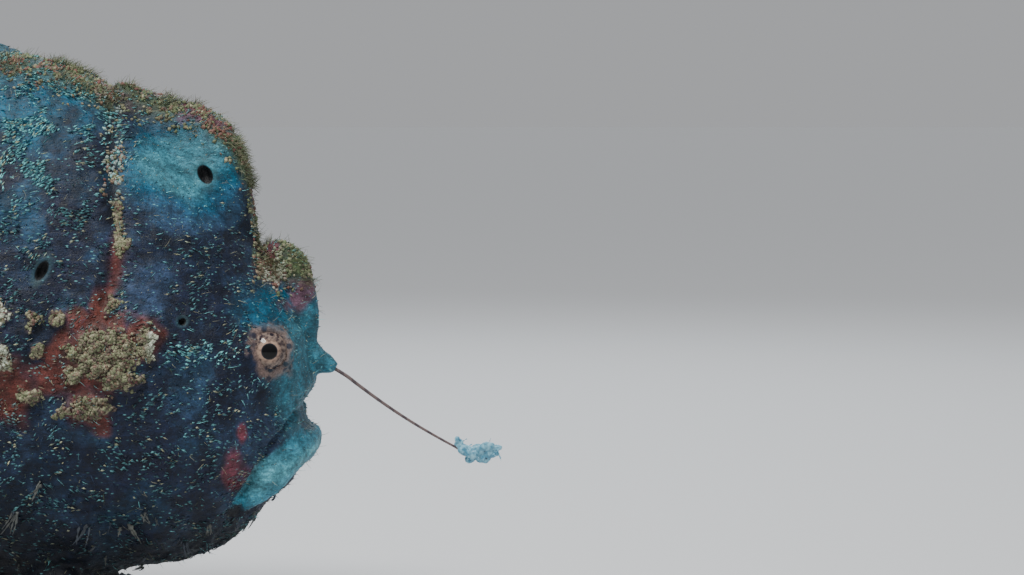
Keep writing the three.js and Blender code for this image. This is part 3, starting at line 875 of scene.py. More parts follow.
def skin_material():
    g = Graph("frogfish_skin")
    along = g.place((0.42, 1.0, 1.25))
    mottle = g.noise(0.36, 4.0, 0.6)
    streak = g.noise(1.5, 3.0, 0.6, along)
    grain = g.noise(3.4, 3.0, 0.6)
    colour = times(g, g.attribute("tint", "Color"), g.band(mottle, 0.30, 0.72, 0.55, 1.5))
    colour = times(g, colour, g.band(streak, 0.30, 0.72, 0.68, 1.36))
    colour = times(g, colour, g.band(grain, 0.3, 0.72, 0.7, 1.35))
    fleck = g.product(g.band(g.cells(1.3, along), 0.22, 0.1), g.band(mottle, 0.42, 0.6))
    colour = g.mix(g.product(fleck, 0.6), colour, rgba(MIST * 0.8))
    colour = pores_over(g, halo_over(g, colour, mottle, grain))
    rough = g.band(grain, 0.3, 0.7, 0.42, 0.66)
    height = g.math("ADD", g.product(streak, 0.45), g.product(grain, 0.55))
    g.shader.inputs["Specular IOR Level"].default_value = 0.28
    return g.finish(colour, rough, height, 0.26)


def attribute_material(name, rough):
    """Takes its colour from the tint of each vertex, with fine variation."""
    g = Graph(name)
    grain = g.noise(1.6)
    colour = times(g, g.attribute("tint", "Color"), g.band(grain, 0.3, 0.7, 0.75, 1.25))
    return g.finish(colour, rough, grain, 0.08)


# The eyeball, the angle that the iris colours span, the raised rim, and the way the eye faces.
EYE_RADIUS, IRIS_SPAN = 4.28, 1.12
RIM_OUT, RIM_RADIUS, RIM_THICK = 1.7, 4.1, 1.05
EYE_AIM = (0.22, 1.0, 0.05)
# Nostril and gill opening in side view.
NOSTRIL_X, NOSTRIL_Z = -4.3, 53.5
GILL_X, GILL_Z = -103, 36


def eye_place(side):
    """Middle of an eye's solid, in the fish's frame and millimetres."""
    lo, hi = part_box("eye_left" if side > 0 else "eye_right")
    middle = (lo + hi) / 2 / MM
    return np.array([middle.x + CENTRE_X, middle.y, middle.z])


def eye_distance(p):
    """Distance from the nearer eye's middle."""
    return np.min([np.linalg.norm(p - eye_place(s), axis=1) for s in (-1, 1)], axis=0)


def ring(name, centre, axis, radius, thick, steps=72, sides=16):
    """A torus round axis."""
    axis = Vector(axis).normalized()
    u = axis.orthogonal().normalized()
    w = axis.cross(u)
    points, faces = [], []
    for i in range(steps):
        a = 2 * math.pi * i / steps
        out = np.array(u * math.cos(a) + w * math.sin(a))
        for j in range(sides):
            b = 2 * math.pi * j / sides
            round_tube = out * (radius + thick * math.cos(b))
            points.append(np.array(centre) + round_tube + np.array(axis) * thick * math.sin(b))
            k, n = (i + 1) % steps, (j + 1) % sides
            faces.append((i * sides + j, i * sides + n, k * sides + n, k * sides + j))
    return mesh_object(name, np.array(points), faces)


def eye_axis(side):
    forward, outward, upward = EYE_AIM
    return np.array([forward, side * outward, upward]) / np.linalg.norm(EYE_AIM)


def on_flank(x, z, side, proud):
    """A point of the bare flank, moved out a little."""
    return np.array([x, side * (float(flank(x, z)[0]) + proud), z])


def make_skin():
    parts = [body_loft(), third_spine(), limb("spine", SECOND_SPINE), limb("cone", LURE_CONE), lower_lip()]
    for side in (-1, 1):
        parts += [arm("arm", side, PECTORAL_ARM), arm("pelvic", side, PELVIC_ARM)]
        centre, axis = eye_place(side), eye_axis(side)
        parts.append(ring(f"rim_{side}", centre + axis * RIM_OUT, axis, RIM_RADIUS, RIM_THICK))
        nostril = on_flank(NOSTRIL_X, NOSTRIL_Z, side, 0.2)
        parts.append(ring(f"nostril_{side}", nostril, (0.8, side * 0.6, 0), 0.85, 0.42, steps=24, sides=10))
        gill = on_flank(GILL_X, GILL_Z, side, 0.4)
        parts.append(ring(f"gill_{side}", gill, (0, side, 0), 1.8, 0.8, steps=32, sides=12))
    skin = join(parts, "skin")
    remesh(skin, VOXEL, passes=6)
    paint_skin(skin, sculpt_skin(skin))
    shade_smooth(skin)
    return skin


# The notch between the lure's foot and the lip: x, z, radius, depth.
NOTCH_X, NOTCH_Z, NOTCH_RADIUS, NOTCH_DEPTH = -2.4, 44.9, 3.2, 2.4
# The skin lies a little inside the solids before it is sculpted, and stays clear of the floor.
SKIN_INSET, SKIN_FLOOR = 0.12, 0.15
MOUTH_REACH, MOUTH_DEPTH = 16, 0.9
PORE_RIM, PORE_DEPTH = 0.12, 1.3
# A value of the pore mask that means no pore is near.
NO_PORE = 9.0


def swell(p):
    """How far each point of the smooth skin moves out: warts, pores, crusts, mouth and folds."""
    x, y, z = p.T
    push = 0.35 * noise_at(p, 11, 0.3) + 0.22 * noise_at(p, 3.4, 4.4) + 0.12 * noise_at(p, 1.6, 7.7)
    wide = np.abs(y) > 6
    pore = pore_distance(x, z)
    push += np.where(wide, PORE_RIM * bump(pore - 1.35, 0.4) - PORE_DEPTH * smooth(1.1, 0.4, pore), 0)
    push += ragged_crust(p) * wide * (0.7 + 0.9 * noise_at(p, 1.5, 2.2))
    push -= MOUTH_DEPTH * smooth(0.6, 0.0, line_distance(MOUTH, x, z)) * (np.abs(y) < MOUTH_REACH)
    push -= MOUTH_DEPTH * under_lip(p)
    notch = bump(np.hypot(x - NOTCH_X, z - NOTCH_Z), NOTCH_RADIUS)
    push -= NOTCH_DEPTH * notch * smooth(11, 6, np.abs(y))
    push += smooth(40, 15, z) * np.maximum(0, noise_at(p, 4.5, 6.1))
    push *= smooth(3.6, 6.5, eye_distance(p))
    push *= 0.15 + 0.85 * smooth(0.8, 4.5, z)
    return push


def sculpt_skin(skin):
    """Moves the smooth skin out and in along its normals, and gives its new points in the fish's frame."""
    q, n = coords(skin), normals(skin)
    q = q + n * (swell(fish(q)) - SKIN_INSET)[:, None] * MM
    q[:, 2] = np.maximum(q[:, 2], SKIN_FLOOR * MM)
    set_coords(skin, q)
    return fish(q)


def paint_skin(skin, p):
    """Writes the skin's colours, and the masks of pores and eye rings that its material reads."""
    m = marks(p)
    lip = lip_share(p)
    # The mask of the mouth's cleft, darkened further on as painted shade.
    mouth = smooth(0.4, 0.1, line_distance(MOUTH, p[:, 0], p[:, 2])) * (np.abs(p[:, 1]) < MOUTH_REACH)
    colour = layered(tint(m), [
        (mix(BLUE * 1.5, MIST, 0.12), lip * 0.95),
        # Painted highlight along the ridge of the lower lip.
        (MIST, lip * bump(from_lip(p)[1] + 0.25, 0.3) * 0.22),
        # Painted shade in the fold between the lower lip and the chin.
        (PAINTED_SHADE, under_lip(p) * 0.8),
        # Painted shade along the mouth's cleft.
        (PAINTED_SHADE, mouth * 0.5),
    ])
    halo = smooth(6.3, 4.5, eye_distance(p) + 1.5 * m["fine"])
    pore = np.where(np.abs(p[:, 1]) > 2, pore_distance(p[:, 0], p[:, 2]), NO_PORE)
    write_attributes(skin, colour, pore=pore, halo=halo)


# Half thickness of membrane, ray and root of the body's fins and of the hand fins.
THIN, HAND = (0.26, 0.42, 1.4), (0.45, 0.75, 1.2)
RIPPLE = 0.1
SIDES = ((-1, "right"), (1, "left"))


def paint_fin(obj):
    """Keeps a fin above the floor, and writes its colours as for the skin."""
    q = coords(obj)
    q[:, 2] = np.maximum(q[:, 2], 0.0)
    set_coords(obj, q)
    shade_smooth(obj)
    p = fish(q)
    m = marks(p)
    m["back"] = m["back"] * 0.25
    colour = blend_in(tint(m), GREY, 0.35 * smooth(0.1, 0.5, noise_at(p, 5, 2.9)))
    write_attributes(obj, colour, pore=np.full(len(p), NO_PORE), halo=np.zeros(len(p)))


def make_fins():
    """The seven fins by node: shape, rays, thickness, notch, rows, columns for a ray, ripple."""
    rows = {
        "dorsal_fin": (dorsal, 13, THIN, 0.06, 80, 12, RIPPLE),
        "tail_fin": (tail, 9, THIN, 0.06, 80, 12, RIPPLE),
        "anal_fin": (anal, 7, THIN, 0.06, 60, 12, RIPPLE),
    }
    for side, word in SIDES:
        rows[f"pectoral_fin_{word}"] = (hand(side, *PECTORAL), 10, HAND, 0.09, 50, 12)
        rows[f"pelvic_fin_{word}"] = (hand(side, *PELVIC), 5, HAND, 0.12, 44, 14)
    made = {node: fin(f"{node}_skin", *row) for node, row in rows.items()}
    for obj in made.values():
        paint_fin(obj)
    return made


def sphere(name, centre, radii, u, v):
    """Closed oval with v bands of u points, in the fish's frame."""
    a = np.linspace(0, math.pi, v + 1)[1:-1, None]
    b = np.linspace(0, 2 * math.pi, u, endpoint=False)[None, :]
    body = np.stack([np.sin(a) * np.cos(b), np.sin(a) * np.sin(b), np.cos(a) + 0 * b], -1).reshape(-1, 3)
    points = np.concatenate([body, [[0, 0, 1]], [[0, 0, -1]]]) * np.array(radii) + np.array(centre)
    faces = []
    for i in range(v - 2):
        for j in range(u):
            k = (j + 1) % u
            faces.append((i * u + j, (i + 1) * u + j, (i + 1) * u + k, i * u + k))
    last = (v - 1) * u
    for j in range(u):
        k = (j + 1) % u
        faces.append((j, k, last))
        faces.append(((v - 2) * u + k, (v - 2) * u + j, last + 1))
    return mesh_object(name, points, faces)


def eye_material():
    """Pupil and spotted iris. iris is the share of the angle out from the axis, spoke the angle round it."""
    g = Graph("frogfish_eye")
    out = g.attribute("iris")
    fine = g.math("SINE", g.product(g.attribute("spoke"), 9.0))
    wobble = g.noise(1.5, 4.0)
    rays = g.math("ADD", g.product(fine, 0.12), g.band(wobble, 0.3, 0.7, -0.6, 0.6))
    colour = g.mix(g.band(rays, -0.6, 0.6), paint(58, 46, 48), paint(128, 112, 102))
    spots = g.product(g.band(g.cells(0.8), 0.38, 0.22), g.band(out, 0.42, 0.62))
    colour = g.mix(spots, colour, paint(24, 19, 31))
    inner = g.product(g.band(out, 0.56, 0.36), g.band(wobble, 0.3, 0.55, 0.3, 0.95))
    colour = g.mix(inner, colour, paint(166, 138, 120))
    # A dark bluish ring round the pupil: painted reflection.
    colour = g.mix(g.band(out, 0.345, 0.315), colour, paint(28, 34, 44))
    colour = g.mix(g.band(out, 0.3, 0.28), colour, paint(4, 4, 6))
    g.shader.inputs["Specular IOR Level"].default_value = 0.25
    return g.finish(colour, 0.07, g.product(wobble, 0.2), 0.03)


def make_eye(side, word):
    centre, axis = eye_place(side), eye_axis(side)
    obj = sphere(f"eye_{word}_ball", centre, [EYE_RADIUS] * 3, 96, 64)
    p = fish(coords(obj))
    d = (p - centre) / EYE_RADIUS
    across = np.arccos(np.clip(d @ axis, -1, 1)) / IRIS_SPAN
    up = np.array([0, 0, 1.0]) - axis * axis[2]
    up /= np.linalg.norm(up)
    angle = np.arctan2(d @ up, d @ np.cross(axis, up))
    # The ball bulges a little over the pupil.
    set_coords(obj, world(p + axis * (0.35 * bump(across, 0.5))[:, None]))
    shade_smooth(obj)
    write_floats(obj, iris=across, spoke=np.abs(angle))
    return obj


LURE_ROOT, LURE_KNOT = np.array([2.2, 0, 52.2]), np.array([26.4, 0, 36.2])


def make_rod():
    stations = []
    for t in np.linspace(0, 1, 14):
        x, y, z = mix(LURE_ROOT, LURE_KNOT, t)
        thick = mix(0.36, 0.22, t)
        stations.append([x, y, z - 0.9 * math.sin(t * math.pi), thick, thick])
    stations[0][:3] = [0.6, 0, 52.9]
    return limb("lure_rod", stations, steps=120, sides=14)


BAIT_THREADS = 16
# Lobes of the lure's bait: middle from the knot, and radii.
LOBES = [
    [0.4, 0.0, 0.2, 1.3, 1.0, 1.1],
    [-0.6, 0.3, 1.2, 0.9, 0.7, 1.1],
    [1.9, -0.2, -0.4, 1.5, 1.1, 1.2],
    [3.2, 0.3, 0.2, 1.6, 0.8, 1.1],
    [4.9, -0.2, 0.9, 1.5, 0.6, 0.9],
    [5.6, 0.2, -0.6, 1.6, 0.6, 0.8],
    [4.0, 0.3, -1.6, 1.5, 0.6, 0.9],
    [6.7, -0.1, 0.6, 1.1, 0.4, 0.6],
    [1.4, 0.5, -1.7, 1.0, 0.6, 0.8],
    [-1.0, -0.2, 2.1, 0.5, 0.4, 0.7],
]


def bait_thread(k):
    """One short thread from a lobe of the bait. Its direction follows from its number."""
    a = k * 2.4
    root = LURE_KNOT + LOBES[k % len(LOBES)][:3]
    out = np.array([0.6 + 0.5 * math.cos(a), 0.7 * math.sin(a), math.cos(a * 1.7)])
    reach = 1.6 + 0.9 * ((k * 7) % 5) / 5
    stations = []
    for t in (0, 0.35, 0.7, 1):
        thick = 0.2 - 0.12 * t
        stations.append([*(root + out * reach * t + [0, 0, -0.3 * t * t]), thick, thick])
    return limb(f"thread_{k}", stations, steps=10, sides=8)


def make_bait():
    parts = [sphere(f"lobe_{i}", LURE_KNOT + row[:3], row[3:], 32, 20) for i, row in enumerate(LOBES)]
    parts += [bait_thread(k) for k in range(BAIT_THREADS)]
    bait = join(parts, "lure_bait")
    remesh(bait, BAIT_VOXEL, passes=4)
    p, n = coords(bait), normals(bait)
    push = 0.16 * noise_at(p / MM, 0.8, 3.0) + 0.07 * noise_at(p / MM, 0.35, 6.0)
    set_coords(bait, p + n * push[:, None] * MM)
    shade_smooth(bait)
    return bait


def bait_material():
    g = Graph("lure_bait_flesh")
    veil = g.noise(1.3, 4.0)
    colour = g.mix(g.band(veil, 0.35, 0.7), paint(70, 132, 158), paint(142, 196, 212))
    spots = g.product(g.band(g.cells(0.8), 0.34, 0.2), g.band(g.noise(0.6), 0.5, 0.62))
    colour = g.mix(spots, colour, paint(40, 50, 66))
    g.shader.inputs["Subsurface Weight"].default_value = 0.25
    g.shader.inputs["Subsurface Radius"].default_value = (1.0, 1.0, 1.0)
    g.shader.inputs["Subsurface Scale"].default_value = 0.0008
    return g.finish(colour, 0.4, veil, 0.1)


def rod_material():
    g = Graph("lure_rod_flesh")
    at = g.node("ShaderNodeSeparateXYZ", {0: g.place()}).outputs["X"]
    bands = g.band(g.math("SINE", g.product(at, 2.6)), 0.1, 0.7)
    return g.finish(g.mix(bands, paint(100, 84, 82), paint(70, 58, 62)), 0.5, g.noise(4.0), 0.05)


# Coat pieces. Each grows from roots that are drawn at random over a surface.
def surface_roots(obj, count, keep):
    """Points, normals and tints at random places of obj, in the part's frame.

    keep gives the weight of places in the fish's frame.
    """
    data = obj.data
    data.calc_loop_triangles()
    tri = np.empty(len(data.loop_triangles) * 3, int)
    data.loop_triangles.foreach_get("vertices", tri)
    tri = tri.reshape(-1, 3)
    p, n = coords(obj), normals(obj)
    a, b, c = (p[tri[:, k]] for k in range(3))
    area = np.linalg.norm(np.cross(b - a, c - a), axis=1) / 2
    weight = area * keep(fish((a + b + c) / 3))
    pick = RNG.choice(len(tri), size=count, p=weight / weight.sum())
    r = RNG.random((count, 2))
    flip = r.sum(1) > 1
    r[flip] = 1 - r[flip]
    shares = np.stack([1 - r.sum(1), r[:, 0], r[:, 1]], 1)[..., None]
    place = (p[tri[pick]] * shares).sum(1)
    out = unit((n[tri[pick]] * shares).sum(1))
    colours = np.empty(len(p) * 4, np.float32)
    data.attributes["tint"].data.foreach_get("color", colours)
    colours = colours.reshape(-1, 4)[:, :3]
    tone = (colours[tri[pick]] * shares).sum(1)
    return place, out, tone


def lie_of_coat(out, turn):
    """A direction in the surface, towards the snout, turned by an angle for each root."""
    flow = np.tile([1.0, 0.0, 0.0], (len(out), 1))
    flow -= out * (flow * out).sum(1)[:, None]
    flow /= np.maximum(1e-6, np.linalg.norm(flow, axis=1))[:, None]
    side = np.cross(out, flow)
    return flow * np.cos(turn)[:, None] + side * np.sin(turn)[:, None]


def unwrap(p):
    """Place of each root on a cylinder map of the body: round it and along it."""
    level = spline(BODY, station_at(p[:, 0]))[:, 4]
    turn = np.arctan2(p[:, 1], p[:, 2] - level) / (2 * math.pi) + 0.5
    along = (p[:, 0] - TAIL_TIP) / (LURE_KNOT[0] + 10 - TAIL_TIP)
    return np.stack([0.01 + 0.98 * turn, 0.01 + 0.98 * along], 1)


def copies(name, place, flow, out, shape, faces, size, tone):
    """One mesh with a copy of shape at each root. shape holds points along flow, across it and outward."""
    s = np.asarray(shape, float)[None]
    at = place[:, None]
    for i, way in enumerate((flow, np.cross(out, flow), out)):
        at = at + way[:, None] * (s[..., i : i + 1] * size[:, None, i : i + 1]) * MM
    return coat_mesh(name, at.reshape(-1, 3), faces, place, len(shape), tone)


def coat_mesh(name, points, faces, place, k, tone):
    """One mesh of tufts with k points each. faces are those of the first tuft."""
    index = (np.arange(len(place)) * k)[:, None, None] + np.asarray(faces)[None]
    obj = mesh_from_arrays(name, points, index.reshape(-1, 3))
    write_attributes(obj, np.repeat(tone, k, axis=0))
    bake_map(obj, np.repeat(unwrap(fish(place)), k, axis=0), k)
    return obj


def mesh_from_arrays(name, points, triangles):
    data = bpy.data.meshes.new(name)
    data.vertices.add(len(points))
    data.vertices.foreach_set("co", points.astype(np.float32).ravel())
    data.loops.add(len(triangles) * 3)
    data.loops.foreach_set("vertex_index", triangles.astype(np.int32).ravel())
    data.polygons.add(len(triangles))
    data.polygons.foreach_set("loop_start", np.arange(len(triangles), dtype=np.int32) * 3)
    data.update(calc_edges=True)
    return link(name, data)


UV_PATCH = 0.003


def bake_map(obj, roots, k):
    """The map OFBake: each ring of k points is a small patch at its root's place on the unwrap."""
    turn = 2 * math.pi * (np.arange(len(roots)) % k) / k
    uv = roots + UV_PATCH / 2 * np.stack([np.cos(turn), np.sin(turn)], 1)
    loops = np.empty(len(obj.data.loops), np.int32)
    obj.data.loops.foreach_get("vertex_index", loops)
    layer = obj.data.uv_layers.new(name="OFBake")
    layer.data.foreach_set("uv", uv[loops].astype(np.float32).ravel())


# Small closed shapes, with points as along, across, out.
SPINULE = [[-0.5, 0, -0.2], [0, -0.5, -0.2], [0, 0.5, -0.2], [0.6, 0, 0.9]]
SPINULE_FACES = [[0, 2, 1], [0, 1, 3], [1, 2, 3], [2, 0, 3]]
GRAIN = [[1, 0, 0], [0, 1, 0], [-1, 0, 0], [0, -1, 0], [0, 0, 1], [0, 0, -0.6]]
GRAIN_FACES = [[0, 1, 4], [1, 2, 4], [2, 3, 4], [3, 0, 4], [1, 0, 5], [2, 1, 5], [3, 2, 5], [0, 3, 5]]


EYE_CLEAR, FLOOR_CLEAR, PORE_CLEAR = 5.6, 1.0, 1.7


def free_skin(p):
    """1 where growth may stand: off the eyes, the floor and the pore marks."""
    pore = pore_distance(p[:, 0], p[:, 2])
    return (eye_distance(p) > EYE_CLEAR) * (p[:, 2] > FLOOR_CLEAR) * (pore > PORE_CLEAR)


def clumps(p):
    """Flecks gather in loose patches, most of all on the back and in a band behind the eye."""
    x, z = p[:, 0], p[:, 2]
    band = spot(x, z, -20, 57.5, 9, 2.2)
    back = smooth(70, 94, z) * smooth(-34, -44, x)
    patches = smooth(-0.02, 0.35, noise_at(p, 4.5, 1.9)) * (1 + 2.6 * back)
    return 0.06 + patches + 2.6 * band * smooth(-0.3, 0.3, noise_at(p, 2.4, 4.2))


def openness(p):
    """Where flecks are dense, 1, and where the skin is smooth, near 0: lip, snout and the pale hump."""
    x, z = p[:, 0], p[:, 2]
    bare = [share * spot(x, z, *oval) for oval, share in SMOOTH_SKIN]
    bare += [lip_share(p), 0.85 * ragged_crust(p)]
    return (1 - np.max(bare, axis=0)) * mix(0.35, 1.0, smooth(12, 30, z))


def one_side(side):
    """The weight of even growth over one side."""

    def keep(p):
        return free_skin(p) * (p[:, 1] * side > 0)

    return keep


def fleck_side(side):
    """The weight of the flecks of one side."""

    def keep(p):
        return one_side(side)(p) * openness(p) * clumps(p)

    return keep


def over_fins(p):
    """The weight of flecks on the fins, off the floor."""
    return (p[:, 2] > 0.9) * (0.06 + smooth(0.0, 0.45, noise_at(p, 5, 1.9)))


def along_back(p):
    """The weight of the green threads on the back."""
    high = smooth(-7, 0, p[:, 2] - crest(p[:, 0])) * smooth(66, 70, p[:, 2])
    return free_skin(p) * high * (0.05 + smooth(-0.05, 0.35, noise_at(p, 5, 2.6)))


def under_belly(p):
    """The weight of the small tassels."""
    return (p[:, 2] > 9) * smooth(34, 16, p[:, 2]) * (p[:, 0] > -125)


def flecks(surface, name, count, keep, length, width, pale):
    """Short raised strokes that lie along the body. pale is the share that keep the colour of the skin."""
    place, out, tone = surface_roots(surface, count, keep)
    p = fish(place)
    x, z = p[:, 0], p[:, 2]
    turn = 0.25 + 1.1 * noise_at(p, 13, 6.6) + RNG.normal(0, 0.3, count)
    flow = lie_of_coat(out, turn)
    high = RNG.uniform(0.35, 0.8, count) * width[1]
    long = RNG.uniform(*length, count) * mix(1.0, 0.75, smooth(-34, -8, x))
    size = np.stack([long, RNG.uniform(*width, count), high], 1)
    kind = RNG.random(count)
    # Pale flecks stay pale on the upper back as painted light from above, and in the band behind the eye as
    # their own colour; low on the body they dim as painted shade.
    belly_shade = smooth(34, 14, z)
    top_light_and_band = np.maximum(smooth(78, 96, z) * smooth(-28, -42, x), spot(x, z, -20, 57.5, 10, 3))
    top_light_and_band = mix(0.35, 1.0, top_light_and_band) * mix(1.0, 0.3, belly_shade)
    shade = blend_in(tone * 1.2, MIST * 1.25, (kind > pale) * RNG.uniform(0.2, 1.0, count) ** 1.5 * top_light_and_band)
    cream = (kind > 0.9) * RNG.uniform(0.4, 1.0, count) * mix(1.0, 0.4, belly_shade)
    shade = blend_in(shade, CREAM * 1.25, cream)
    return copies(name, place, flow, out, SPINULE, SPINULE_FACES, size, shade)


def over_crusts(p):
    """The weight of granules: crusts, upper crease, back and second spine."""
    x, y, z = p.T
    off = line_distance(CREASE, x - 0.4, z)
    upper = 1.1 * bump(off - 0.4, 1.2) * smooth(84, 87, z) * smooth(101, 95, z)
    upper = upper * smooth(-0.3, 0.2, noise_at(p, 2.2, 6.0))
    seam = 4.0 * bump(off, 0.5) * smooth(74.5, 77, z) * smooth(86, 84, z)
    seam = seam + 3.0 * spot(x, z, -35.4, 77.4, 1.3, 1.1)
    back = 0.9 * smooth(-8, 0, z - crest(x)) * smooth(67, 71, z)
    back = back * (0.1 + smooth(-0.05, 0.25, noise_at(p, 3.5, 7.0)))
    spine = 1.1 * spot(x, z, -7.8, 71, 2.6, 4.2) * smooth(-0.2, 0.2, noise_at(p, 1.8, 3.0))
    grown = 1.6 * ragged_crust(p) ** 2 + (upper + seam) * (np.abs(y) > 5)
    return (grown + back + spine) * (np.abs(y) > 0.6) * free_skin(p)


def some(count, least):
    """Picks at random those whose draw lies above least."""
    return RNG.random(count) > least


def grain_colours(p):
    """Tan granules, with green, pink and pale ones on the back, the spine and round the crusts."""
    x, z = p[:, 0], p[:, 2]
    n = len(p)
    lump = clamp01(0.55 + 1.2 * noise_at(p, 1.3, 5.1))
    high = smooth(-9, -1, z - crest(x))
    pink = high * (noise_at(p, 7, 8.1) > 0.12)
    first_rim, second_rim = spot(x, z, -29.2, 59.4, 1.6, 3.8), spot(x, z, -57, 62, 4, 9)
    seam = bump(line_distance(CREASE, x, z), 1.8) * smooth(84, 88, z)
    return layered(TAN * 0.5, [
        (CREAM * 0.9, lump * RNG.uniform(0.5, 1.0, n)),
        (MOSS * 1.3, some(n, 0.55) * 0.55),
        (ROSE, some(n, 0.88) * 0.45),
        (MOSS * 1.2, high * some(n, 0.5) * 0.7),
        (ROSE * 1.1, pink * some(n, 0.4) * 0.7),
        (PALE * 0.8, spot(x, z, -9.4, 71, 2.6, 5) * some(n, 0.45) * 0.6),
        (PALE, np.maximum(first_rim, second_rim * some(n, 0.4)) * RNG.uniform(0.3, 1.0, n)),
        (blend_in(ROSE * 1.6, MIST, RNG.random(n)), seam * some(n, 0.35) * 0.75),
    ])


def crust_grains(skin, name, count):
    """Chunky granules."""
    place, out, _ = surface_roots(skin, count, over_crusts)
    flow = lie_of_coat(out, RNG.normal(0, 0.9, count))
    r = RNG.uniform(0.22, 0.5, count)
    size = np.stack([r * RNG.uniform(lo, hi, count) for lo, hi in ((1.0, 1.6), (0.7, 1.0), (0.8, 1.6))], 1)
    made = copies(name, place, flow, out, GRAIN, GRAIN_FACES, size, grain_colours(fish(place)))
    shade_smooth(made)
    return made


DROOP = 0.35
STRAND_STEPS = 3
# Threads have three sides and tassels six. These are the angles of their corners.
THIRDS = (0, 2.094, 4.189)
SIXTHS = (0, 1.047, 2.094, 3.142, 4.189, 5.236)


def tube_faces(steps, sides):
    """Triangles between the rings of a tube, without its ends."""
    faces = []
    for i in range(steps):
        for j in range(sides):
            a, b = i * sides + j, i * sides + (j + 1) % sides
            faces += [[a, b, b + sides], [a, b + sides, a + sides]]
    return faces


def strands(skin, name, count, keep, length, width, tones):
    """Thin tapered three sided threads that rise from the skin and bend over."""
    place, out, tone = surface_roots(skin, count, keep)
    flow = lie_of_coat(out, RNG.normal(0, 1.1, count))
    side = np.cross(out, flow)
    reach = RNG.uniform(*length, count)
    thick = RNG.uniform(*width, count)
    lean = RNG.uniform(0.15, 0.9, count)
    curl = RNG.normal(0, 0.35, count)
    rings = []
    for i in range(STRAND_STEPS + 1):
        t = i / STRAND_STEPS
        mid = (
            place
            + out * ((reach * t * np.cos(lean) - 0.08)[:, None]) * MM
            + flow * ((reach * (t * np.sin(lean) + DROOP * t * t))[:, None]) * MM
            + side * ((reach * curl * t * t)[:, None]) * MM
        )
        wide = thick * (1 - t) ** 0.7 + 0.012
        for a in THIRDS:
            rings.append(mid + (flow * math.cos(a) + side * math.sin(a)) * (wide * MM)[:, None])
    k = len(rings)
    faces = [[0, 2, 1], [k - 3, k - 2, k - 1]] + tube_faces(STRAND_STEPS, len(THIRDS))
    pick = RNG.integers(0, len(tones), count)
    shade = blend_in(np.array(tones)[pick], tone, RNG.uniform(0, 0.5, count))
    shade = shade * RNG.uniform(0.7, 1.25, count)[:, None]
    return coat_mesh(name, np.stack(rings, 1).reshape(-1, 3), faces, place, k, shade)


# Tassels on throat and flank: x, z in side view, length, width, lean.
TASSELS = [
    [-55, 28, 5.5, 1.5, -0.3],
    [-51, 33.3, 4.6, 1.3, -0.5],
    [-43, 25.2, 6.2, 1.4, -0.3],
    [-35.5, 25, 4.2, 2.0, 0.3],
    [-32.5, 27.6, 3.0, 1.2, 0.2],
    [-26, 20.5, 3.6, 1.3, 0.2],
    [-21, 24.5, 3.0, 1.2, 0.2],
    [-70, 24, 5.0, 1.5, -0.4],
    [-88, 22, 5.0, 1.4, -0.6],
    [-104, 30, 4.2, 1.3, -0.8],
    [-112, 78, 3.6, 1.2, -1.3],
    [-122, 45, 4.0, 1.2, -1.0],
]
BELLY_TASSELS = 150
TASSEL_STEPS = 7


def ribbon(start, along, out, length, width, curl):
    """Rings of a thin tapered ribbon that droops away from the skin."""
    side = np.cross(along, out)
    rings = []
    for i in range(TASSEL_STEPS + 1):
        t = i / TASSEL_STEPS
        at = start + along * length * t + out * (0.2 + 0.9 * t - 0.5 * t * t) + side * curl * t * t
        wide = width * (1 - 0.8 * t) * (0.65 + 0.45 * math.sin(17 * t + curl * 9)) / 2
        thick = mix(0.22, 0.07, t)
        rings += [at + side * wide * math.cos(a) + out * thick * math.sin(a) for a in SIXTHS]
    return rings


def tassel_sites(skin):
    """Place, outward direction, length, width, lean and number of branches of each tassel."""
    sites = []
    for side in (-1, 1):
        for x, z, *form in TASSELS:
            sites.append((on_flank(x, z, side, 0.1), np.array([0, side * 1.0, -0.15]), *form, 4))
    place, normal, _ = surface_roots(skin, BELLY_TASSELS, under_belly)
    for p, out in zip(fish(place), normal):
        sites.append((p, out, RNG.uniform(1.0, 2.6), RNG.uniform(0.4, 0.8), RNG.normal(-0.2, 0.4), 3))
    return sites


def branch(at, out, length, width, lean):
    """Rings of one branch of a tassel, hanging from near at."""
    along = np.array([lean + RNG.normal(0, 0.2), RNG.normal(0, 0.15), -1.0])
    along -= out * (along @ out)
    along /= np.linalg.norm(along)
    start = at + np.array([RNG.normal(0, width * 0.35), 0, RNG.normal(0, 0.3)])
    reach, wide = length * RNG.uniform(0.4, 1.0), width * RNG.uniform(0.35, 0.8)
    return ribbon(start, along, out, reach, wide, RNG.normal(0, 0.4))


def tassels(skin, name):
    """Branching tassels of skin on both sides, with small ones along the belly, as one piece."""
    sides, last = len(SIXTHS), TASSEL_STEPS * len(SIXTHS)
    faces = tube_faces(TASSEL_STEPS, sides)
    faces += [[0, j + 1, j] for j in range(1, sides - 1)]
    faces += [[last, last + j, last + j + 1] for j in range(1, sides - 1)]
    points, roots, tone = [], [], []
    for at, out, length, width, lean, branches in tassel_sites(skin):
        out = out / np.linalg.norm(out)
        colour = mix(GREY, CREAM, RNG.uniform(0.05, 0.4))
        for _ in range(branches):
            points += branch(at, out, length, width, lean)
            roots.append(at)
            tone.append(colour * RNG.uniform(0.35, 0.7))
    k = last + sides
    index = (np.arange(len(roots)) * k)[:, None, None] + np.array(faces)[None]
    obj = mesh_from_arrays(name, world(np.array(points)), index.reshape(-1, 3))
    write_attributes(obj, np.repeat(tone, k, axis=0))
    bake_map(obj, np.repeat(unwrap(np.array(roots)), k, axis=0), sides)
    shade_smooth(obj)
    return obj


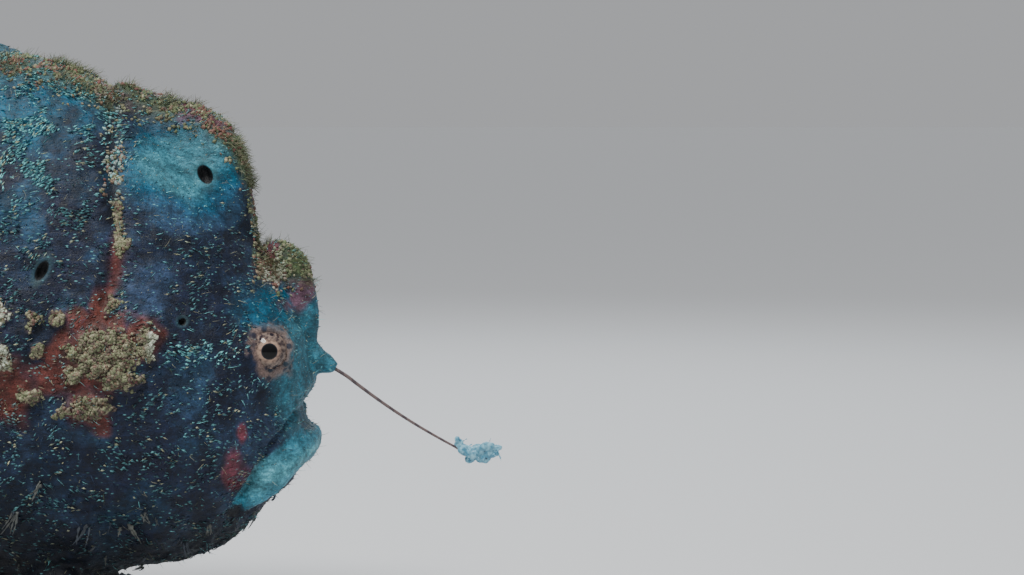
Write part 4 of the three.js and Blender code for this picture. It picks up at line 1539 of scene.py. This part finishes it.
def dress(obj, material, nodes=()):
    obj.data.materials.append(material)
    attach(obj, "root")
    if nodes:
        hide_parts(*nodes)


# Lamps: name, place, size, power, colour. All point at LAMP_AIM.
LAMPS = (
    ("key", (-0.10, -0.26, 0.60), 0.24, 4.6, (1.0, 0.99, 0.96)),
    ("rim", (0.10, 0.50, 0.50), 0.5, 2.0, (0.88, 0.95, 1.0)),
)
LAMP_AIM = Vector((0.02, 0, 0.05))
FLOOR_HALF = 12


def make_floor():
    h = FLOOR_HALF
    data = bpy.data.meshes.new("floor")
    data.from_pydata([(-h, -h, 0), (h, -h, 0), (h, h, 0), (-h, h, 0)], [], [(0, 1, 2, 3)])
    floor = link("floor", data)
    floor.data.materials.append(Graph("studio_floor").finish(paint(205, 206, 208), 0.8))


def make_sky():
    """A soft light from all round, paler above."""
    sky = bpy.data.worlds.new("studio")
    bpy.context.scene.world = sky
    sky.use_nodes = True
    nodes, links = sky.node_tree.nodes, sky.node_tree.links
    part = nodes.new("ShaderNodeSeparateXYZ")
    links.new(nodes.new("ShaderNodeTexCoord").outputs["Generated"], part.inputs[0])
    ramp = nodes.new("ShaderNodeValToRGB")
    low, high = ramp.color_ramp.elements
    low.position, low.color = 0.04, (0.56, 0.57, 0.59, 1)
    high.position, high.color = 0.7, (0.96, 0.98, 1.0, 1)
    links.new(part.outputs["Z"], ramp.inputs[0])
    links.new(ramp.outputs[0], nodes["Background"].inputs["Color"])
    nodes["Background"].inputs["Strength"].default_value = 0.72


def make_lamps():
    for name, at, size, power, colour in LAMPS:
        light = bpy.data.lights.new(name, "AREA")
        light.shape = "DISK"
        light.size, light.energy, light.color = size, power, colour
        lamp = link(name, light)
        lamp.location = at
        lamp.rotation_euler = (LAMP_AIM - Vector(at)).to_track_quat("-Z", "Y").to_euler()


FLESH = ["head", "lower_jaw", "trunk", "tail_stalk", "second_dorsal_spine", "third_dorsal_spine"]
FLESH += [f"{pair}_arm_{word}" for pair in ("pectoral", "pelvic") for _, word in SIDES]
SHARE = 1.0
FLECKS, SPINULES, FIN_FLECKS = int(16000 * SHARE), int(20000 * SHARE), int(2600 * SHARE)
GRAINS, GREEN_THREADS, THREADS = int(20000 * SHARE), int(8000 * SHARE), int(4200 * SHARE)
GREENS = (MOSS, MOSS * 1.4, CREAM * 0.8, BROWN)
PALES = (MIST, CREAM, GREY * 1.4, MOSS)
FLECK_FORM = {"length": (0.55, 1.5), "width": (0.3, 0.6), "pale": 0.25}
SPINULE_FORM = {"length": (0.3, 0.7), "width": (0.1, 0.2), "pale": 0.8}
FIN_FLECK_FORM = {"length": (0.5, 1.2), "width": (0.24, 0.45), "pale": 0.4}
GREEN_FORM = {"length": (0.5, 2.2), "width": (0.03, 0.06), "tones": GREENS}
THREAD_FORM = {"length": (0.5, 1.7), "width": (0.03, 0.055), "tones": PALES}


def make_body():
    """The skin, fins, eyes and lure. Gives the surfaces that the coat grows on."""
    look = skin_material()
    skin = make_skin()
    dress(skin, look, FLESH)
    fins = make_fins()
    for node, obj in fins.items():
        dress(obj, look, [node])
    look = eye_material()
    for side, word in SIDES:
        dress(make_eye(side, word), look, [f"eye_{word}"])
    dress(make_rod(), rod_material(), ["illicium"])
    dress(make_bait(), bait_material(), ["esca"])
    return skin, fins


def make_coat(skin, fins):
    """Everything that grows on the skin and the fins."""
    look = attribute_material("coat_flecks", 0.5)
    for side, word in SIDES:
        made = flecks(skin, f"flecks_{word}", FLECKS, fleck_side(side), **FLECK_FORM)
        dress(made, look)
        made = flecks(skin, f"spinules_{word}", SPINULES, one_side(side), **SPINULE_FORM)
        dress(made, look)
    sown = []
    for node, obj in fins.items():
        sown.append(flecks(obj, f"sown_{node}", FIN_FLECKS, over_fins, **FIN_FLECK_FORM))
    dress(join(sown, "fin_flecks"), look)
    dress(crust_grains(skin, "crust_grains", GRAINS), attribute_material("coat_crust", 0.85))
    made = strands(skin, "algae_back", GREEN_THREADS, along_back, **GREEN_FORM)
    look = attribute_material("coat_algae", 0.75)
    dress(made, look)
    dress(tassels(skin, "skin_tassels"), attribute_material("coat_tassels", 0.6))
    made = strands(skin, "skin_threads", THREADS, free_skin, **THREAD_FORM)
    dress(made, look)


make_camera()
make_floor()
make_sky()
make_lamps()
make_coat(*make_body())
